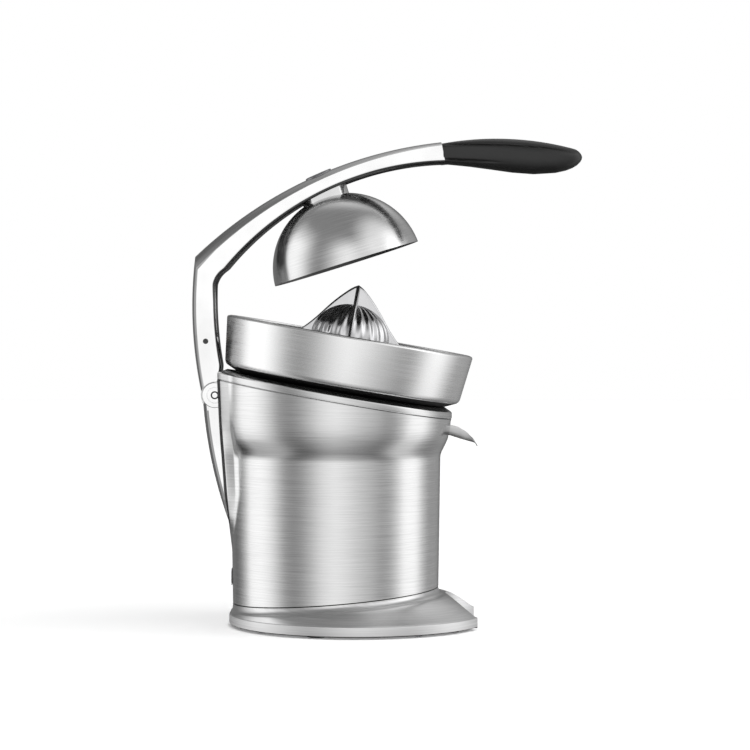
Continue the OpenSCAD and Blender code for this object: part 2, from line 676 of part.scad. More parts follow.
// ---- Gear box and motor, along the bowl's axis ----
// The gears' outline in plan, grown round both axes
module box_outline(r) {
    circle(r);
    translate([0, lay_gap]) circle(r);
    translate([-r, 0]) square([2 * r, lay_gap]);
}
module gearbox_cover() {
    place() color(white_plastic) deck_frame() difference() {
        union() {
            translate([0, 0, box_low]) linear_extrude(box_top - box_low) box_outline(box_r);
            at_gear_corners() translate([0, 0, box_low]) cylinder(r = 5, h = box_top - box_low);
        }
        translate([0, 0, box_low - 1]) linear_extrude(box_top - box_roof - box_low + 1) box_outline(box_r - 2.5);
        translate([0, 0, box_low]) cylinder(r = hub_r + run_fit, h = 60);
        translate([0, lay_gap, box_low]) cylinder(r = 3, h = 60);
        at_gear_corners() translate([0, 0, box_low - 1]) cylinder(r = screw_r, h = 60);
    }
}
module gearbox_plate() {
    place() color(dark_steel) deck_frame() difference() {
        union() {
            translate([0, 0, plate_a]) linear_extrude(box_low - plate_a) box_outline(box_r);
            at_gear_corners() translate([0, 0, plate_a]) cylinder(r = 5, h = box_low - plate_a);
        }
        translate([0, 0, plate_a - 1]) cylinder(r = 10, h = 5);
        translate([0, lay_gap, plate_a - 1]) cylinder(r = 3, h = 5);
        at_gear_corners() translate([0, 0, plate_a - 1]) cylinder(r = screw_r, h = 5);
    }
}
module gearbox_screws() {
    place() color(dark_steel) deck_frame() at_gear_corners() union() {
        translate([0, 0, plate_a - 2]) cylinder(r = head_r, h = 2);
        translate([0, 0, plate_a]) cylinder(r = screw_r, h = box_top + 5 - plate_a);
    }
}
// The lay shaft stands at 90 degrees from the motor's axis, and each pair meets tooth in gap
module output_gear() {
    place() color(white_plastic) deck_frame() difference() {
        union() {
            translate([0, 0, out_gear_top - out_gear_t]) gear(out_teeth, out_gear_t, 90);
            translate([0, 0, out_gear_top - eps]) cylinder(r = hub_r + 3, h = box_top - box_roof - 0.5 - out_gear_top);
            translate([0, 0, out_gear_top - eps]) cylinder(r = hub_r, h = box_top - out_gear_top);
        }
        translate([0, 0, out_gear_top - 20]) cylinder(r = shaft_r + run_fit, h = 40);
    }
}
module lay_gear() {
    place() color(white_plastic) deck_frame() translate([0, lay_gap, 0]) difference() {
        union() {
            translate([0, 0, wheel_top - wheel_t]) gear(wheel_teeth, wheel_t, -90 + 180 / wheel_teeth);
            translate([0, 0, wheel_top - eps]) gear(lay_teeth, out_gear_top + 0.5 - wheel_top, -90 + 180 / lay_teeth);
        }
        translate([0, 0, wheel_top - 20]) cylinder(r = 3 + run_fit, h = 60);
    }
}
module lay_axle() {
    place() color(steel) deck_frame() translate([0, lay_gap, plate_a]) cylinder(r = 3, h = box_top - 0.5 - plate_a);
}
rotor_shaft_r = 3;
module motor_can() {
    place() color(dark_steel) deck_frame() difference() {
        translate([0, 0, motor_low]) cylinder(r = motor_r, h = motor_h);
        translate([0, 0, motor_low + 2]) cylinder(r = motor_r - 2, h = motor_h - 4);
        translate([0, 0, motor_low - 1]) cylinder(r = 8, h = motor_h + 2);
    }
}
module motor_bushes() {
    place() color(brass) deck_frame() {
        translate([0, 0, motor_top - 5]) ring(8, rotor_shaft_r + run_fit, 5);
        translate([0, 0, motor_low]) ring(8, rotor_shaft_r + run_fit, 5);
    }
}
module motor_stator() {
    place() color([0.5, 0.35, 0.2]) deck_frame() translate([0, 0, motor_low + 12]) ring(motor_r - 2, motor_r - 10, motor_h - 24);
}
module motor_rotor() {
    place() color(steel) deck_frame() union() {
        translate([0, 0, motor_low + 1]) cylinder(r = rotor_shaft_r, h = shaft_low - plunge - 0.5 - motor_low - 1);
        translate([0, 0, motor_low + 14]) cylinder(r = motor_r - 11, h = motor_h - 28);
        translate([0, 0, wheel_top - wheel_t - 1]) gear(motor_teeth, wheel_t + 1.4, 90);
    }
}
switch_y = -shaft_r - 5.5;
module micro_switch() {
    place() color(black) deck_frame() difference() {
        translate([-5, switch_y - 17, box_low]) cube([10, 19, wheel_top - 1 - box_low]);
        translate([0, switch_y, box_low + 1]) cylinder(r = 1.5 + run_fit, h = 30);
    }
}
module switch_button() {
    place() color("red") deck_frame() translate([0, switch_y, wheel_top - 6])
        cylinder(r = 1.5, h = shaft_low - 0.05 - wheel_top + 6);
}
board_z = 44;
board_size = 70;
board_t = 1.6;
board_back = 10;
post_in = 6;
post_r = 3.5;
module control_board() {
    place() color("darkgreen") difference() {
        translate([-board_back, -board_size / 2, board_z]) cube([board_size, board_size, board_t]);
        at_board_posts() cylinder(r = screw_r, h = 90);
    }
}
module at_board_posts() {
    for (x = [post_in, board_size - post_in], y = [-1, 1])
        translate([x - board_back, y * (board_size / 2 - post_in), 0]) children();
}
module board_posts() {
    post_low = foot_gap + plate_t + ballast_h;
    place() color(brass) at_board_posts() union() {
        translate([0, 0, post_low]) cylinder(r = post_r, h = board_z - post_low);
        translate([0, 0, board_z]) cylinder(r = screw_r, h = board_t + 2);
    }
}
module cord_gland() {
    place() color(black) translate([-gland_back, 0, gland_z]) rotate([0, 90, 0]) difference() {
        union() {
            translate([0, 0, -0.75]) cylinder(r = gland_r - 1.5, h = 8);
            translate([0, 0, -0.75]) cylinder(r = gland_r, h = 0.6);
            translate([0, 0, 2]) cylinder(r = gland_r, h = 3);
        }
        translate([0, 0, -5]) cylinder(r = 3.6, h = 40);
    }
}

// ---- Hinge ----
bracket_low = 93.5;
// Side view of the bracket, from the knuckle down the back of the spine
bracket_back = arc_points([-body_r_low - 3, bracket_low], [-spine_back - 13.9, pin_z - 9.6], 420, 6);
module bracket_side() {
    polygon(concat(bracket_back, [[-spine_back + 8, pin_z - 9.6], [-60, pin_z - 9.6], [-60, bracket_low]]));
}
module bracket_width(inset) {
    rotate([90, 0, 90]) linear_extrude(200, center = true) polygon([
        [-cheek_out + inset, pin_z + 20], [-cheek_out + inset, pocket_low - 10], [-12 + inset, bracket_low - 1],
        [12 - inset, bracket_low - 1], [cheek_out - inset, pocket_low - 10], [cheek_out - inset, pin_z + 20]]);
}
liner_x = pocket_floor_x - gap;
module hinge_bracket() {
    place() color(steel) difference() {
        union() {
            difference() {
                intersection() {
                    slab(-cheek_out, cheek_out) bracket_side();
                    translate([-60, 0, 0]) bracket_width(0);
                }
                difference() {
                    body_form();
                    hinge_pocket(-gap);
                }
                translate([-spine_back + pocket_depth - gap - 3, -50, 0]) cube([100, 100, 300]);
                intersection() {
                    translate([3, 0, 0]) slab(-cheek_in, cheek_in) bracket_side();
                    translate([-60, 0, 0]) bracket_width(3);
                }
            }
            both_sides() rod(fixed_pin, knuckle_r, cheek_in, cheek_out);
            both_sides() slab(cheek_in, cheek_out) polygon([
                [liner_x - 3, pocket_low + gap], [liner_x, pocket_low + gap], [liner_x, pin_z + 12],
                [fixed_pin[0], pin_z + knuckle_r - 0.3], [fixed_pin[0], pin_z - 9.6], [-spine_back - 0.5, pin_z - 9.6],
                [-spine_back - 0.5, pocket_low + gap]]);
            slab(-cheek_out, cheek_out) polygon([
                [liner_x - 2.5, pocket_low + gap], [liner_x, pocket_low + gap], [liner_x, pin_z + 12], [liner_x - 2.5, pin_z + 12]]);
            slab(-cheek_out, cheek_out) polygon([
                [-spine_back - 0.5, pocket_low + gap], [liner_x, pocket_low + gap],
                [liner_x, pocket_low + gap + 2.5], [-spine_back - 0.5, pocket_low + gap + 2.5]]);
            intersection() {
                at_bracket_screws() cylinder(r = 5, h = 40, center = true);
                slab(-10, 10) bracket_side();
            }
        }
        difference() {
            body_form();
            hinge_pocket(-gap);
        }
        rod(fixed_pin, pin_r, -40, 40);
        at_bracket_screws() cylinder(r = screw_r, h = 60, center = true);
    }
}
module bracket_screws() {
    place() color(dark_steel) at_bracket_screws() union() {
        translate([0, 0, -2.9]) cylinder(r = screw_r, h = 18);
        translate([0, 0, 12]) cylinder(r = head_r, h = 2);
    }
}
module hinge_pin() {
    place() color(steel) rod(fixed_pin, pin_r, -cheek_out + 0.5, cheek_out - 0.5);
}
sector_from = link_angle - 14;
sector_to = link_angle + link_swing + 9;
module sector_gear() {
    place() color(dark_steel) sector(sector_teeth, fixed_pin, link_angle, sector_from, sector_to, 8.5, pin_r);
}
module torsion_springs() {
    place() color(steel) both_sides() translate([fixed_pin[0], spring_in, fixed_pin[1]]) rotate([-90, 0, 0])
        coil(pin_r + 2, 1, link_in - spring_in - 0.5, 3);
}
link_low_r = 9;
link_high_r = 7.5;
bush_t = 1.5;
module link_outline() {
    translate(fixed_pin) circle(link_low_r);
    translate(arm_pin_at) circle(link_high_r);
    translate(fixed_pin) rotate(link_angle)
        polygon([[0, -link_low_r], [link_len, -link_high_r], [link_len, link_high_r], [0, link_low_r]]);
}
idler_axle_r = 3;
module hinge_links() {
    place() color(dark_steel) both_sides() difference() {
        slab(link_in, link_out) link_outline();
        rod(fixed_pin, pin_r + bush_t, 0, 40);
        rod(arm_pin_at, arm_pin_r + bush_t, 0, 40);
        rod(idler_at, idler_axle_r, 0, 40);
    }
}
module bush_at(p, r) {
    difference() {
        rod(p, r + bush_t, link_in, link_out);
        rod(p, r + run_fit, link_in - 1, link_out + 1);
    }
}
module link_bushes() {
    place() color(brass) both_sides() {
        bush_at(fixed_pin, pin_r);
        bush_at(arm_pin_at, arm_pin_r);
    }
}
// The idler has a gap toward the fixed pin and, having an even number of teeth, one toward the arm's pin
module idler_gear() {
    place() color(dark_steel) difference() {
        slab(-gear_half, gear_half) translate(idler_at) rotate(link_angle + 180 / idler_teeth) polygon(gear_points(idler_teeth));
        rod(idler_at, idler_axle_r + run_fit, -40, 40);
    }
}
module idler_axle() {
    place() color(steel) rod(idler_at, idler_axle_r, -link_out, link_out);
}

// ---- Arm ----
under_points = arc_points(throat_high, root_low, under_line_r, 20);
throat_points = arc_points(throat_low, throat_high, 22, 4);
front_points = arc_points(skirt, throat_low, front_line_r, 6);
skirt_r = 43;
arm_foot = [arm_pin_at + [2, -skirt_r + 0.2], arm_pin_at + [2, -56.3]];
// Half width of the arm at x
function arm_half_at(x) = lerp(arm_half, arm_half_grip, max(0, min(1, (x - bend[0]) / (root_top[0] - bend[0]))));
module arm_plan(inset) {
    xs = [arm_back_x - 30, bend[0], root_top[0], root_top[0] + 10];
    translate([0, 0, pin_z - 20]) linear_extrude(300) polygon(concat(
        [for (x = xs) [x, arm_half_at(x) - inset]], [for (x = back_to_front(xs)) [x, -arm_half_at(x) + inset]]));
}
// A bar with a crowned outer face, bent to the arc of radius r about the point c
module crowned_arc(c, r, rho, inset, a0, a1, deep) {
    translate([c[0], 0, c[1]]) rotate([90, 0, 0]) rotate([0, 0, a0]) rotate_extrude(angle = a1 - a0, $fn = 360)
        intersection() {
            union() {
                translate([r - rho, 0]) circle(rho - inset);
                translate([r - rho - deep, -rho]) square([deep, 2 * rho]);
            }
            translate([r - deep, -arm_half - 1]) square([deep + 2, 2 * arm_half + 2]);
        }
}
crown_from = angle_of(root_top - crown_c) - 8;
crown_to = angle_of(tail - crown_c) + 6;
back_from = angle_of(root_top - back_c) - 12;
back_to = 180 - asin((tail - back_c)[1] / back_line_r) + 6;
// Side view of the arm, open above and behind, where its crowned outer faces bound it
module arm_side() {
    polygon(concat([tail + 3 * (tail - arm_foot[1]), [arm_back_x - 20, root_top[1] + 20],
                    root_top + 0.8 * (root_top - root_low)],
                   back_to_front(under_points), back_to_front(throat_points), back_to_front(front_points), arm_foot));
}
// The crowned outer faces of the arm, moved in by the inset, meeting at the bend
module arm_faces(inset) {
    intersection() {
        crowned_arc(crown_c, crown_line_r, crown_r, inset, crown_from - inset, crown_to + inset, 110 + inset);
        crowned_arc(back_c, back_line_r, back_crown_r, inset, back_from - inset, back_to + inset, 210 + inset);
        arm_plan(inset);
    }
}
module arm_shell() {
    place() color(steel) difference() {
        intersection() {
            arm_faces(0);
            slab(-40, 40) arm_side();
        }
        arm_faces(arm_t);
        // Room for the fixed sector's teeth behind the inner wall
        slab(-gear_half - gap, gear_half + gap) translate(fixed_pin) intersection() {
            circle(sector_r + 0.8 * gear_m + 2 * gap);
            wedge(sector_r, sector_from, sector_to + 1);
        }
        rod(arm_pin_at, arm_pin_r - 1.5, -40, 40);
        screw_line() cylinder(r = 2.5, h = 60, center = true);
        at_core_screws() cylinder(r = screw_r, h = core_t + 4.5);
    }
}
module arm_pin() {
    inner = arm_half - arm_t - 0.6;
    place() color(steel) union() {
        rod(arm_pin_at, arm_pin_r, -inner, inner);
        rod(arm_pin_at, arm_pin_r - 1.5, -arm_half, arm_half);
    }
}
arm_gear_turn = link_angle + 180;
module arm_gear() {
    place() color(dark_steel)
        sector(arm_teeth, arm_pin_at, arm_gear_turn, arm_gear_turn - 20, arm_gear_turn + arm_turn + 22, 7, arm_pin_r);
}

// ---- Dome, placed so that it sits square over the cone when the arm is down ----
bowl_axis = [sin(deck_tilt), cos(deck_tilt)];
pressed_rim = [bowl_x, bowl_z] + dome_gap * bowl_axis;
dome_at = arm_pin_at + turned(turned(pressed_rim - fixed_pin, link_swing) + fixed_pin - arm_pin_at, -arm_turn);
dome_tilt = deck_tilt - (arm_turn - link_swing);
dome_sphere = (dome_r * dome_r + dome_h * dome_h) / (2 * dome_h);
// From the dome's top along its axis to the inner face of the crown
function way_to_circle(p, u, c, r) = let (w = p - c, k = w * u) -k + sqrt(k * k - w * w + r * r);
dome_axis = [sin(dome_tilt), cos(dome_tilt)];
dome_peak = dome_at + dome_h * dome_axis;
saddle_depth = way_to_circle(dome_peak, dome_axis, crown_c, crown_line_r - arm_t);
dome_screw_in = 0.4 * saddle_depth;
saddle_screw_in = 0.5 * saddle_depth;
module dome_frame() { translate([dome_at[0], 0, dome_at[1]]) rotate([0, dome_tilt, 0]) children(); }
module dome_ball(inset) { translate([0, 0, dome_h - dome_sphere]) sphere(r = dome_sphere - inset, $fn = 96); }
module dome() {
    place() color(steel) dome_frame() difference() {
        intersection() {
            dome_ball(0);
            cylinder(r = dome_r + 10, h = dome_h + 10);
        }
        dome_ball(dome_t);
        cylinder(r = 2.5, h = dome_h + 10);
    }
}
saddle_r = 22;
saddle_sunk = 12;
module dome_saddle() {
    place() color(dark_steel) difference() {
        intersection() {
            dome_frame() translate([0, 0, dome_h - saddle_sunk])
                cylinder(r = saddle_r, h = saddle_sunk + saddle_depth + saddle_r);
            arm_faces(arm_t + 0.2);
        }
        dome_frame() dome_ball(-0.05);
        dome_frame() cylinder(r = 2.5, h = dome_h + dome_screw_in + 0.5);
        screw_line() translate([0, 0, -arm_t - saddle_screw_in - 0.5])
            cylinder(r = 2.5, h = arm_t + saddle_screw_in + saddle_depth);
    }
}
module dome_screw() {
    place() color(steel) dome_frame() union() {
        translate([0, 0, dome_h - dome_t - 2.5]) cylinder(r = 5, h = 2.2);
        translate([0, 0, dome_h - dome_t - 2.5]) cylinder(r = 2.5, h = dome_t + 2.5 + dome_screw_in);
    }
}
// The screw that holds the saddle goes down through the crown, square to it, under a cap
cap_x = (dome_peak + saddle_depth * dome_axis)[0] - 0.6;
cap_r = 11.5;
cap_slope = asin((cap_x - crown_c[0]) / crown_line_r);
module screw_line() {
    translate([cap_x, 0, height_on(crown_c, crown_line_r, cap_x)]) rotate([0, cap_slope, 0]) children();
}
module saddle_screw() {
    place() color(dark_steel) screw_line() translate([0, 0, -arm_t - saddle_screw_in])
        cylinder(r = 2.5, h = arm_t + saddle_screw_in - gap);
}
module arm_cap() {
    place() color(steel) difference() {
        intersection() {
            crowned_arc(crown_c, crown_line_r + 1.3, crown_r + 1.3, 0, crown_from, crown_to, 30);
            screw_line() cylinder(r = cap_r, h = 12, center = true);
        }
        crowned_arc(crown_c, crown_line_r, crown_r, 0, crown_from - 1, crown_to + 1, 90);
    }
}
liner_up = 3;
liner_t = 2;
module arm_liner() {
    liner_from = [dome_at[0] + 22, pin_z];
    place() color(black) difference() {
        intersection() {
            slab(-40, 40) polygon(concat(
                [for (p = under_points) if (p[0] > liner_from[0]) p + [0, liner_up]],
                back_to_front([for (p = under_points) if (p[0] > liner_from[0]) p + [0, liner_up + liner_t]])));
            arm_faces(arm_t + 0.2);
            slab(-40, 40) polygon([[liner_from[0], pin_z], [root_top[0], pin_z], [root_top[0], pin_z + 300], [liner_from[0], pin_z + 300]]);
        }
        dome_frame() cylinder(r = saddle_r + gap, h = dome_h + 60);
        at_core_screws() translate([0, 0, -20]) cylinder(r = head_r + 0.6, h = 30);
    }
}

// ---- Grip ----
core_half = 6;
core_down = arm_t + 3.5;
core_t = 6;
core_back = 42;
core_ahead = 92;
core_from = root_top[0] - core_back;
core_to = root_top[0] + core_ahead;
grip_line_r = 276.7;
grip_shoulder = root_top + [0.4, -0.8];
grip_tip = root_top + [grip_len, -14.8];
grip_c = arc_centre(grip_shoulder, grip_tip, grip_line_r);
function core_top(x) = (x < root_top[0])
    ? height_on(crown_c, crown_line_r, x) - core_down
    : height_on(crown_c, crown_line_r, root_top[0]) - core_down - 0.02 * (x - root_top[0]);
module grip_core_side() {
    xs = [for (i = [0:16]) lerp(core_from, core_to, i / 16)];
    polygon(concat([for (x = xs) [x, core_top(x)]], [for (x = back_to_front(xs)) [x, core_top(x) - core_t]]));
}
module at_core_screws() {
    for (x = [core_from + 6, core_from + 28])
        translate([x, 0, core_top(x) - core_t]) rotate([0, asin((x - crown_c[0]) / crown_line_r), 0]) children();
}
module grip_core() {
    place() color(dark_steel) difference() {
        slab(-core_half, core_half) grip_core_side();
        at_core_screws() translate([0, 0, -1]) cylinder(r = screw_r, h = 30);
    }
}
module core_screws() {
    place() color(dark_steel) at_core_screws() union() {
        translate([0, 0, -2.05]) cylinder(r = head_r, h = 2);
        translate([0, 0, -0.1]) cylinder(r = screw_r, h = core_t + 4.6);
    }
}
// Grip sections stand across the lever: t runs from 0 at the root to 1 at the tip
function grip_top(x) = height_on(grip_c, grip_line_r, x);
// How far the section has closed toward the tip: 1 at t = from, 0 at t = 1
function closing(t, from, power) = (t < from) ? 1 : pow(max(0, 1 - pow((t - from) / (1 - from), power)), 0.5);
function grip_fall(t) = lerp(arm_depth + 0.4, grip_depth, sin(90 * min(1, t / 0.62))) * closing(t, 0.72, 2.4);
function grip_wide(t) = lerp(arm_half_grip, grip_half, sin(90 * min(1, t / 0.55))) * closing(t, 0.6, 2.4);
// The tip closes toward its lower side
function grip_low(t) = grip_top(lerp(grip_root_x, grip_tip_x, t)) - grip_fall(t) - 2 * (1 - closing(t, 0.8, 2.4));
grip_root_x = root_top[0] + 0.1;
// Squares a circle's sine or cosine up a little
function squared(v) = sign(v) * pow(abs(v), 0.8);
module grip_form() {
    rings = 26;
    sides = 24;
    ts = [for (i = [0:rings]) 1 - pow(1 - i / rings, 1.5)];
    points = [for (t = ts, j = [0:sides - 1])
        let (a = 360 * j / sides, half = max(grip_fall(t), 0.6) / 2)
        [lerp(grip_root_x, grip_tip_x, t), max(grip_wide(t), 0.4) * squared(cos(a)),
         grip_low(t) + half + half * squared(sin(a))]];
    walls = [for (i = [0:rings - 1], j = [0:sides - 1]) let (k = (j + 1) % sides)
        each [[i * sides + j, i * sides + k, (i + 1) * sides + k], [i * sides + j, (i + 1) * sides + k, (i + 1) * sides + j]]];
    polyhedron(points, concat(walls, [[for (j = [sides - 1:-1:0]) j]], [[for (j = [0:sides - 1]) rings * sides + j]]));
}
module grip() {
    place() color(black) difference() {
        grip_form();
        slab(-core_half, core_half) grip_core_side();
        slab(-40, 40) polygon([root_top + [-20, 20], root_top + [0.02, 20], root_top + [0.02, 0], root_low + [0.02, 0],
                               root_low + [0.02, -20], root_low + [-20, -20]]);
    }
}

base_casting();
base_plate();
ballast();
rubber_feet();
base_screws();
body_shell();
top_deck();
juice_chute();
spout();
spout_pin();
deck_bush();
juice_bowl();
filter_basket();
juicing_cone();
drive_shaft();
return_spring();
output_gear();
gearbox_cover();
gearbox_plate();
gearbox_screws();
lay_gear();
lay_axle();
motor_can();
motor_stator();
motor_rotor();
motor_bushes();
micro_switch();
switch_button();
control_board();
board_posts();
cord_gland();
hinge_bracket();
bracket_screws();
hinge_pin();
sector_gear();
torsion_springs();
hinge_links();
link_bushes();
idler_gear();
idler_axle();
arm_shell();
arm_pin();
arm_gear();
arm_liner();
arm_cap();
saddle_screw();
dome_saddle();
dome();
dome_screw();
grip_core();
core_screws();
grip();
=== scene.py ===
"""Looks for the lever citrus juice press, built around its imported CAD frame.

Lengths are in millimetres from the body's axis on the table, unless a comment says otherwise.
"""
import math

import bmesh
import bpy
import numpy as np
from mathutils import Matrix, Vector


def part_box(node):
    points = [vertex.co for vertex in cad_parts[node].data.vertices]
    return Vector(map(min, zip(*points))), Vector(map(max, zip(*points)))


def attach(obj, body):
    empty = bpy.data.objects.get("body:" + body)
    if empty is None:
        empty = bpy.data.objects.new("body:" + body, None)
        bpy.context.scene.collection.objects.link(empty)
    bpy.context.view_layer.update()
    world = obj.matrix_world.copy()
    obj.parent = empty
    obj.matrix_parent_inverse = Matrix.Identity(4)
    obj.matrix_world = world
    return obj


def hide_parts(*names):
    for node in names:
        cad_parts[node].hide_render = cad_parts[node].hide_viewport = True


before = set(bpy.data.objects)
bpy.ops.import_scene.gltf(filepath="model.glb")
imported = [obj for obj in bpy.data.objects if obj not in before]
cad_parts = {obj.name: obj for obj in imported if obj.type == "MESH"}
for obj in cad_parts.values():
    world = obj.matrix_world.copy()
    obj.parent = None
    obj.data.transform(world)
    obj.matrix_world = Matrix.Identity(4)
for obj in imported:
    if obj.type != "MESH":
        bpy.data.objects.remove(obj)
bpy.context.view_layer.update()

# ---- Camera: level with the middle of the press and a long lens, as in the photograph ----
MM = 0.001
AXIS_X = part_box("base_casting")[0].x + 0.0985
scene = bpy.context.scene
scene.view_settings.view_transform = "Standard"
camera = bpy.data.objects.new("camera", bpy.data.cameras.new("camera"))
scene.collection.objects.link(camera)
scene.camera = camera
camera.data.lens = 123.26
camera.location = (AXIS_X + 0.0365, -2.375, 0.288)
camera.rotation_euler = (math.radians(90 - 1.38), 0, 0)


# ---- Studio: a pale floor, and a surround with a broad light in front, one on each side and one behind ----
# The camera sees plain white. The surround's brightness goes by direction only.
def node(tree, kind, settings=None, **inputs):
    """Adds a shader node. An input is a value or a socket to link, named with _ for a space, or n and a number."""
    made = tree.nodes.new("ShaderNode" + kind)
    for key, value in (settings or {}).items():
        setattr(made, key, value)
    for key, value in inputs.items():
        socket = made.inputs[int(key[1:]) if key[1:].isdigit() else key.replace("_", " ")]
        if isinstance(value, bpy.types.NodeSocket):
            tree.links.new(value, socket)
        else:
            socket.default_value = value
    return made


def maths(tree, operation, *values):
    """The result of a math node on values or sockets."""
    return node(tree, "Math", {"operation": operation}, **{f"n{k}": v for k, v in enumerate(values)}).outputs[0]


def ramp(tree, value, stops, scale=1.0):
    """A grey that runs through (position, brightness) stops."""
    made = node(tree, "ValToRGB", n0=value)
    elements = made.color_ramp.elements
    for place, _ in stops[1:-1]:
        elements.new(place)
    for element, (place, level) in zip(elements, stops):
        element.position = place
        element.color = (level * scale, level * scale, level * scale, 1)
    return made.outputs["Color"]


world = bpy.data.worlds.new("studio")
world.use_nodes = True
scene.world = world
tree = world.node_tree
tree.nodes.clear()
sky = node(tree, "TexCoord").outputs["Generated"]
direction = node(tree, "SeparateXYZ", Vector=sky)
azimuth = maths(tree, "ARCTAN2", direction.outputs["X"], maths(tree, "MULTIPLY", direction.outputs["Y"], -1.0))
around = maths(tree, "MULTIPLY_ADD", azimuth, 0.5 / math.pi, 0.5)
height = maths(tree, "MULTIPLY_ADD", direction.outputs["Z"], 0.5, 0.5)
# Brightness by azimuth in degrees from the camera, positive toward the press's front, and the most a ramp can hold
SURROUND = [(-180, 0.1), (-168, 0.18), (-154, 0.18), (-140, 0.14), (-128, 0.26), (-117, 0.62), (-108, 1.2), (-88, 1.25),
            (-76, 1.05), (-66, 0.7), (-57, 0.37), (-46, 0.28), (-36, 0.38), (-26, 0.6), (-14, 0.92), (0, 1.08),
            (12, 0.95), (26, 0.74), (42, 0.55), (52, 0.38), (62, 0.4), (72, 0.72), (82, 1.25), (100, 1.25),
            (112, 0.65), (124, 0.36), (140, 0.36), (154, 0.32), (168, 0.14), (180, 0.1)]
BRIGHTEST = 1.8
# By height, 0 straight down and 1 straight up: the surround's share, and what the ceiling adds
FALLING = [(0.0, 0.02), (0.05, 0.14), (0.1, 0.5), (0.26, 0.66), (0.4, 1.0), (0.72, 1.0), (0.88, 0.0), (1.0, 0.0)]
OVERHEAD = [(0.0, 0.0), (0.72, 0.0), (0.88, 0.25), (1.0, 0.25)]
# Soft round patches: azimuth, elevation, the cosine where one ends, and strength. A high light ahead, one behind,
# and a dark low corner behind.
PATCHES = [(66, 38, 0.75, 0.65), (174, 50, 0.84, 0.5), (-114, -42, 0.84, -0.25)]
level = ramp(tree, around, [((degrees + 180) / 360, bright) for degrees, bright in SURROUND], 1 / BRIGHTEST)
side = maths(tree, "MULTIPLY", level, ramp(tree, height, FALLING))
total = maths(tree, "ADD", maths(tree, "MULTIPLY", side, BRIGHTEST), ramp(tree, height, OVERHEAD))
for degrees, up, edge, strength in PATCHES:
    turn, lean = math.radians(degrees), math.radians(up)
    way = (math.sin(turn) * math.cos(lean), -math.cos(turn) * math.cos(lean), math.sin(lean))
    near = node(tree, "VectorMath", {"operation": "DOT_PRODUCT"}, n0=sky, n1=way).outputs["Value"]
    spot = ramp(tree, near, [(0.0, 0.0), (edge, 0.0), (0.56 * edge + 0.44, 0.4), (0.22 * edge + 0.78, 0.9),
                             (1.0, 1.0)])
    total = maths(tree, "MULTIPLY_ADD", spot, strength, total)
total = maths(tree, "MAXIMUM", total, 0.0)
rays = node(tree, "LightPath")
shaped = node(tree, "Background", Color=total, Strength=1.0)
white = node(tree, "Background", Color=(1, 1, 1, 1), Strength=1.0)
seen = node(tree, "MixShader", n0=rays.outputs["Is Camera Ray"], n1=shaped.outputs[0], n2=white.outputs[0])
node(tree, "OutputWorld", Surface=seen.outputs[0])

# The camera sees the floor's soft shadow on white, reflections pass through it, and other rays meet a plain grey
FLOOR = 6
floor_mesh = bpy.data.meshes.new("floor")
floor_mesh.from_pydata([(-FLOOR, -FLOOR, 0), (FLOOR, -FLOOR, 0), (FLOOR, FLOOR, 0), (-FLOOR, FLOOR, 0)], [],
                       [(0, 1, 2, 3)])
floor = bpy.data.objects.new("floor", floor_mesh)
scene.collection.objects.link(floor)
floor_look = bpy.data.materials.new("floor")
floor_look.use_nodes = True
tree = floor_look.node_tree
tree.nodes.clear()
rays = node(tree, "LightPath")
plain = node(tree, "BsdfDiffuse", Color=(0.55, 0.55, 0.55, 1))
shadowed = node(tree, "BsdfDiffuse", Color=(2.0, 2.0, 2.0, 1))
glow = node(tree, "Emission", Color=(1, 1, 1, 1), Strength=0.05)
both = node(tree, "AddShader", n0=shadowed.outputs[0], n1=glow.outputs[0])
reflected = maths(tree, "MAXIMUM", rays.outputs["Is Glossy Ray"], rays.outputs["Is Transmission Ray"])
open_floor = node(tree, "BsdfTransparent")
other = node(tree, "MixShader", n0=reflected, n1=plain.outputs[0], n2=open_floor.outputs[0])
seen = node(tree, "MixShader", n0=rays.outputs["Is Camera Ray"], n1=other.outputs[0], n2=both.outputs[0])
node(tree, "OutputMaterial", Surface=seen.outputs[0])
floor_mesh.materials.append(floor_look)


# ---- Base: a heavy casting with a round bay in its front for the glass ----
# Satin steel, turned on its top. A rounded fillet leads up to the body's foot, and the rim is a plain band.
# Each column of points goes once round the casting's section, along a ray from the body's axis.
def grid_faces(shape, wrap=(True, False)):
    """Quads over a grid of points; wrap joins its last row or column to the first. Shape: cells, cells, 4."""
    nu, nv = shape
    i, j = np.meshgrid(np.arange(nu - (not wrap[0])), np.arange(nv - (not wrap[1])), indexing="ij")
    i2, j2 = (i + 1) % nu, (j + 1) % nv
    return np.stack([i * nv + j, i2 * nv + j, i2 * nv + j2, i * nv + j2], -1)


def skin(grid, wrap=(True, False)):
    """The points and the quads of one grid."""
    return grid.reshape(-1, 3), grid_faces(grid.shape[:2], wrap).reshape(-1, 4)


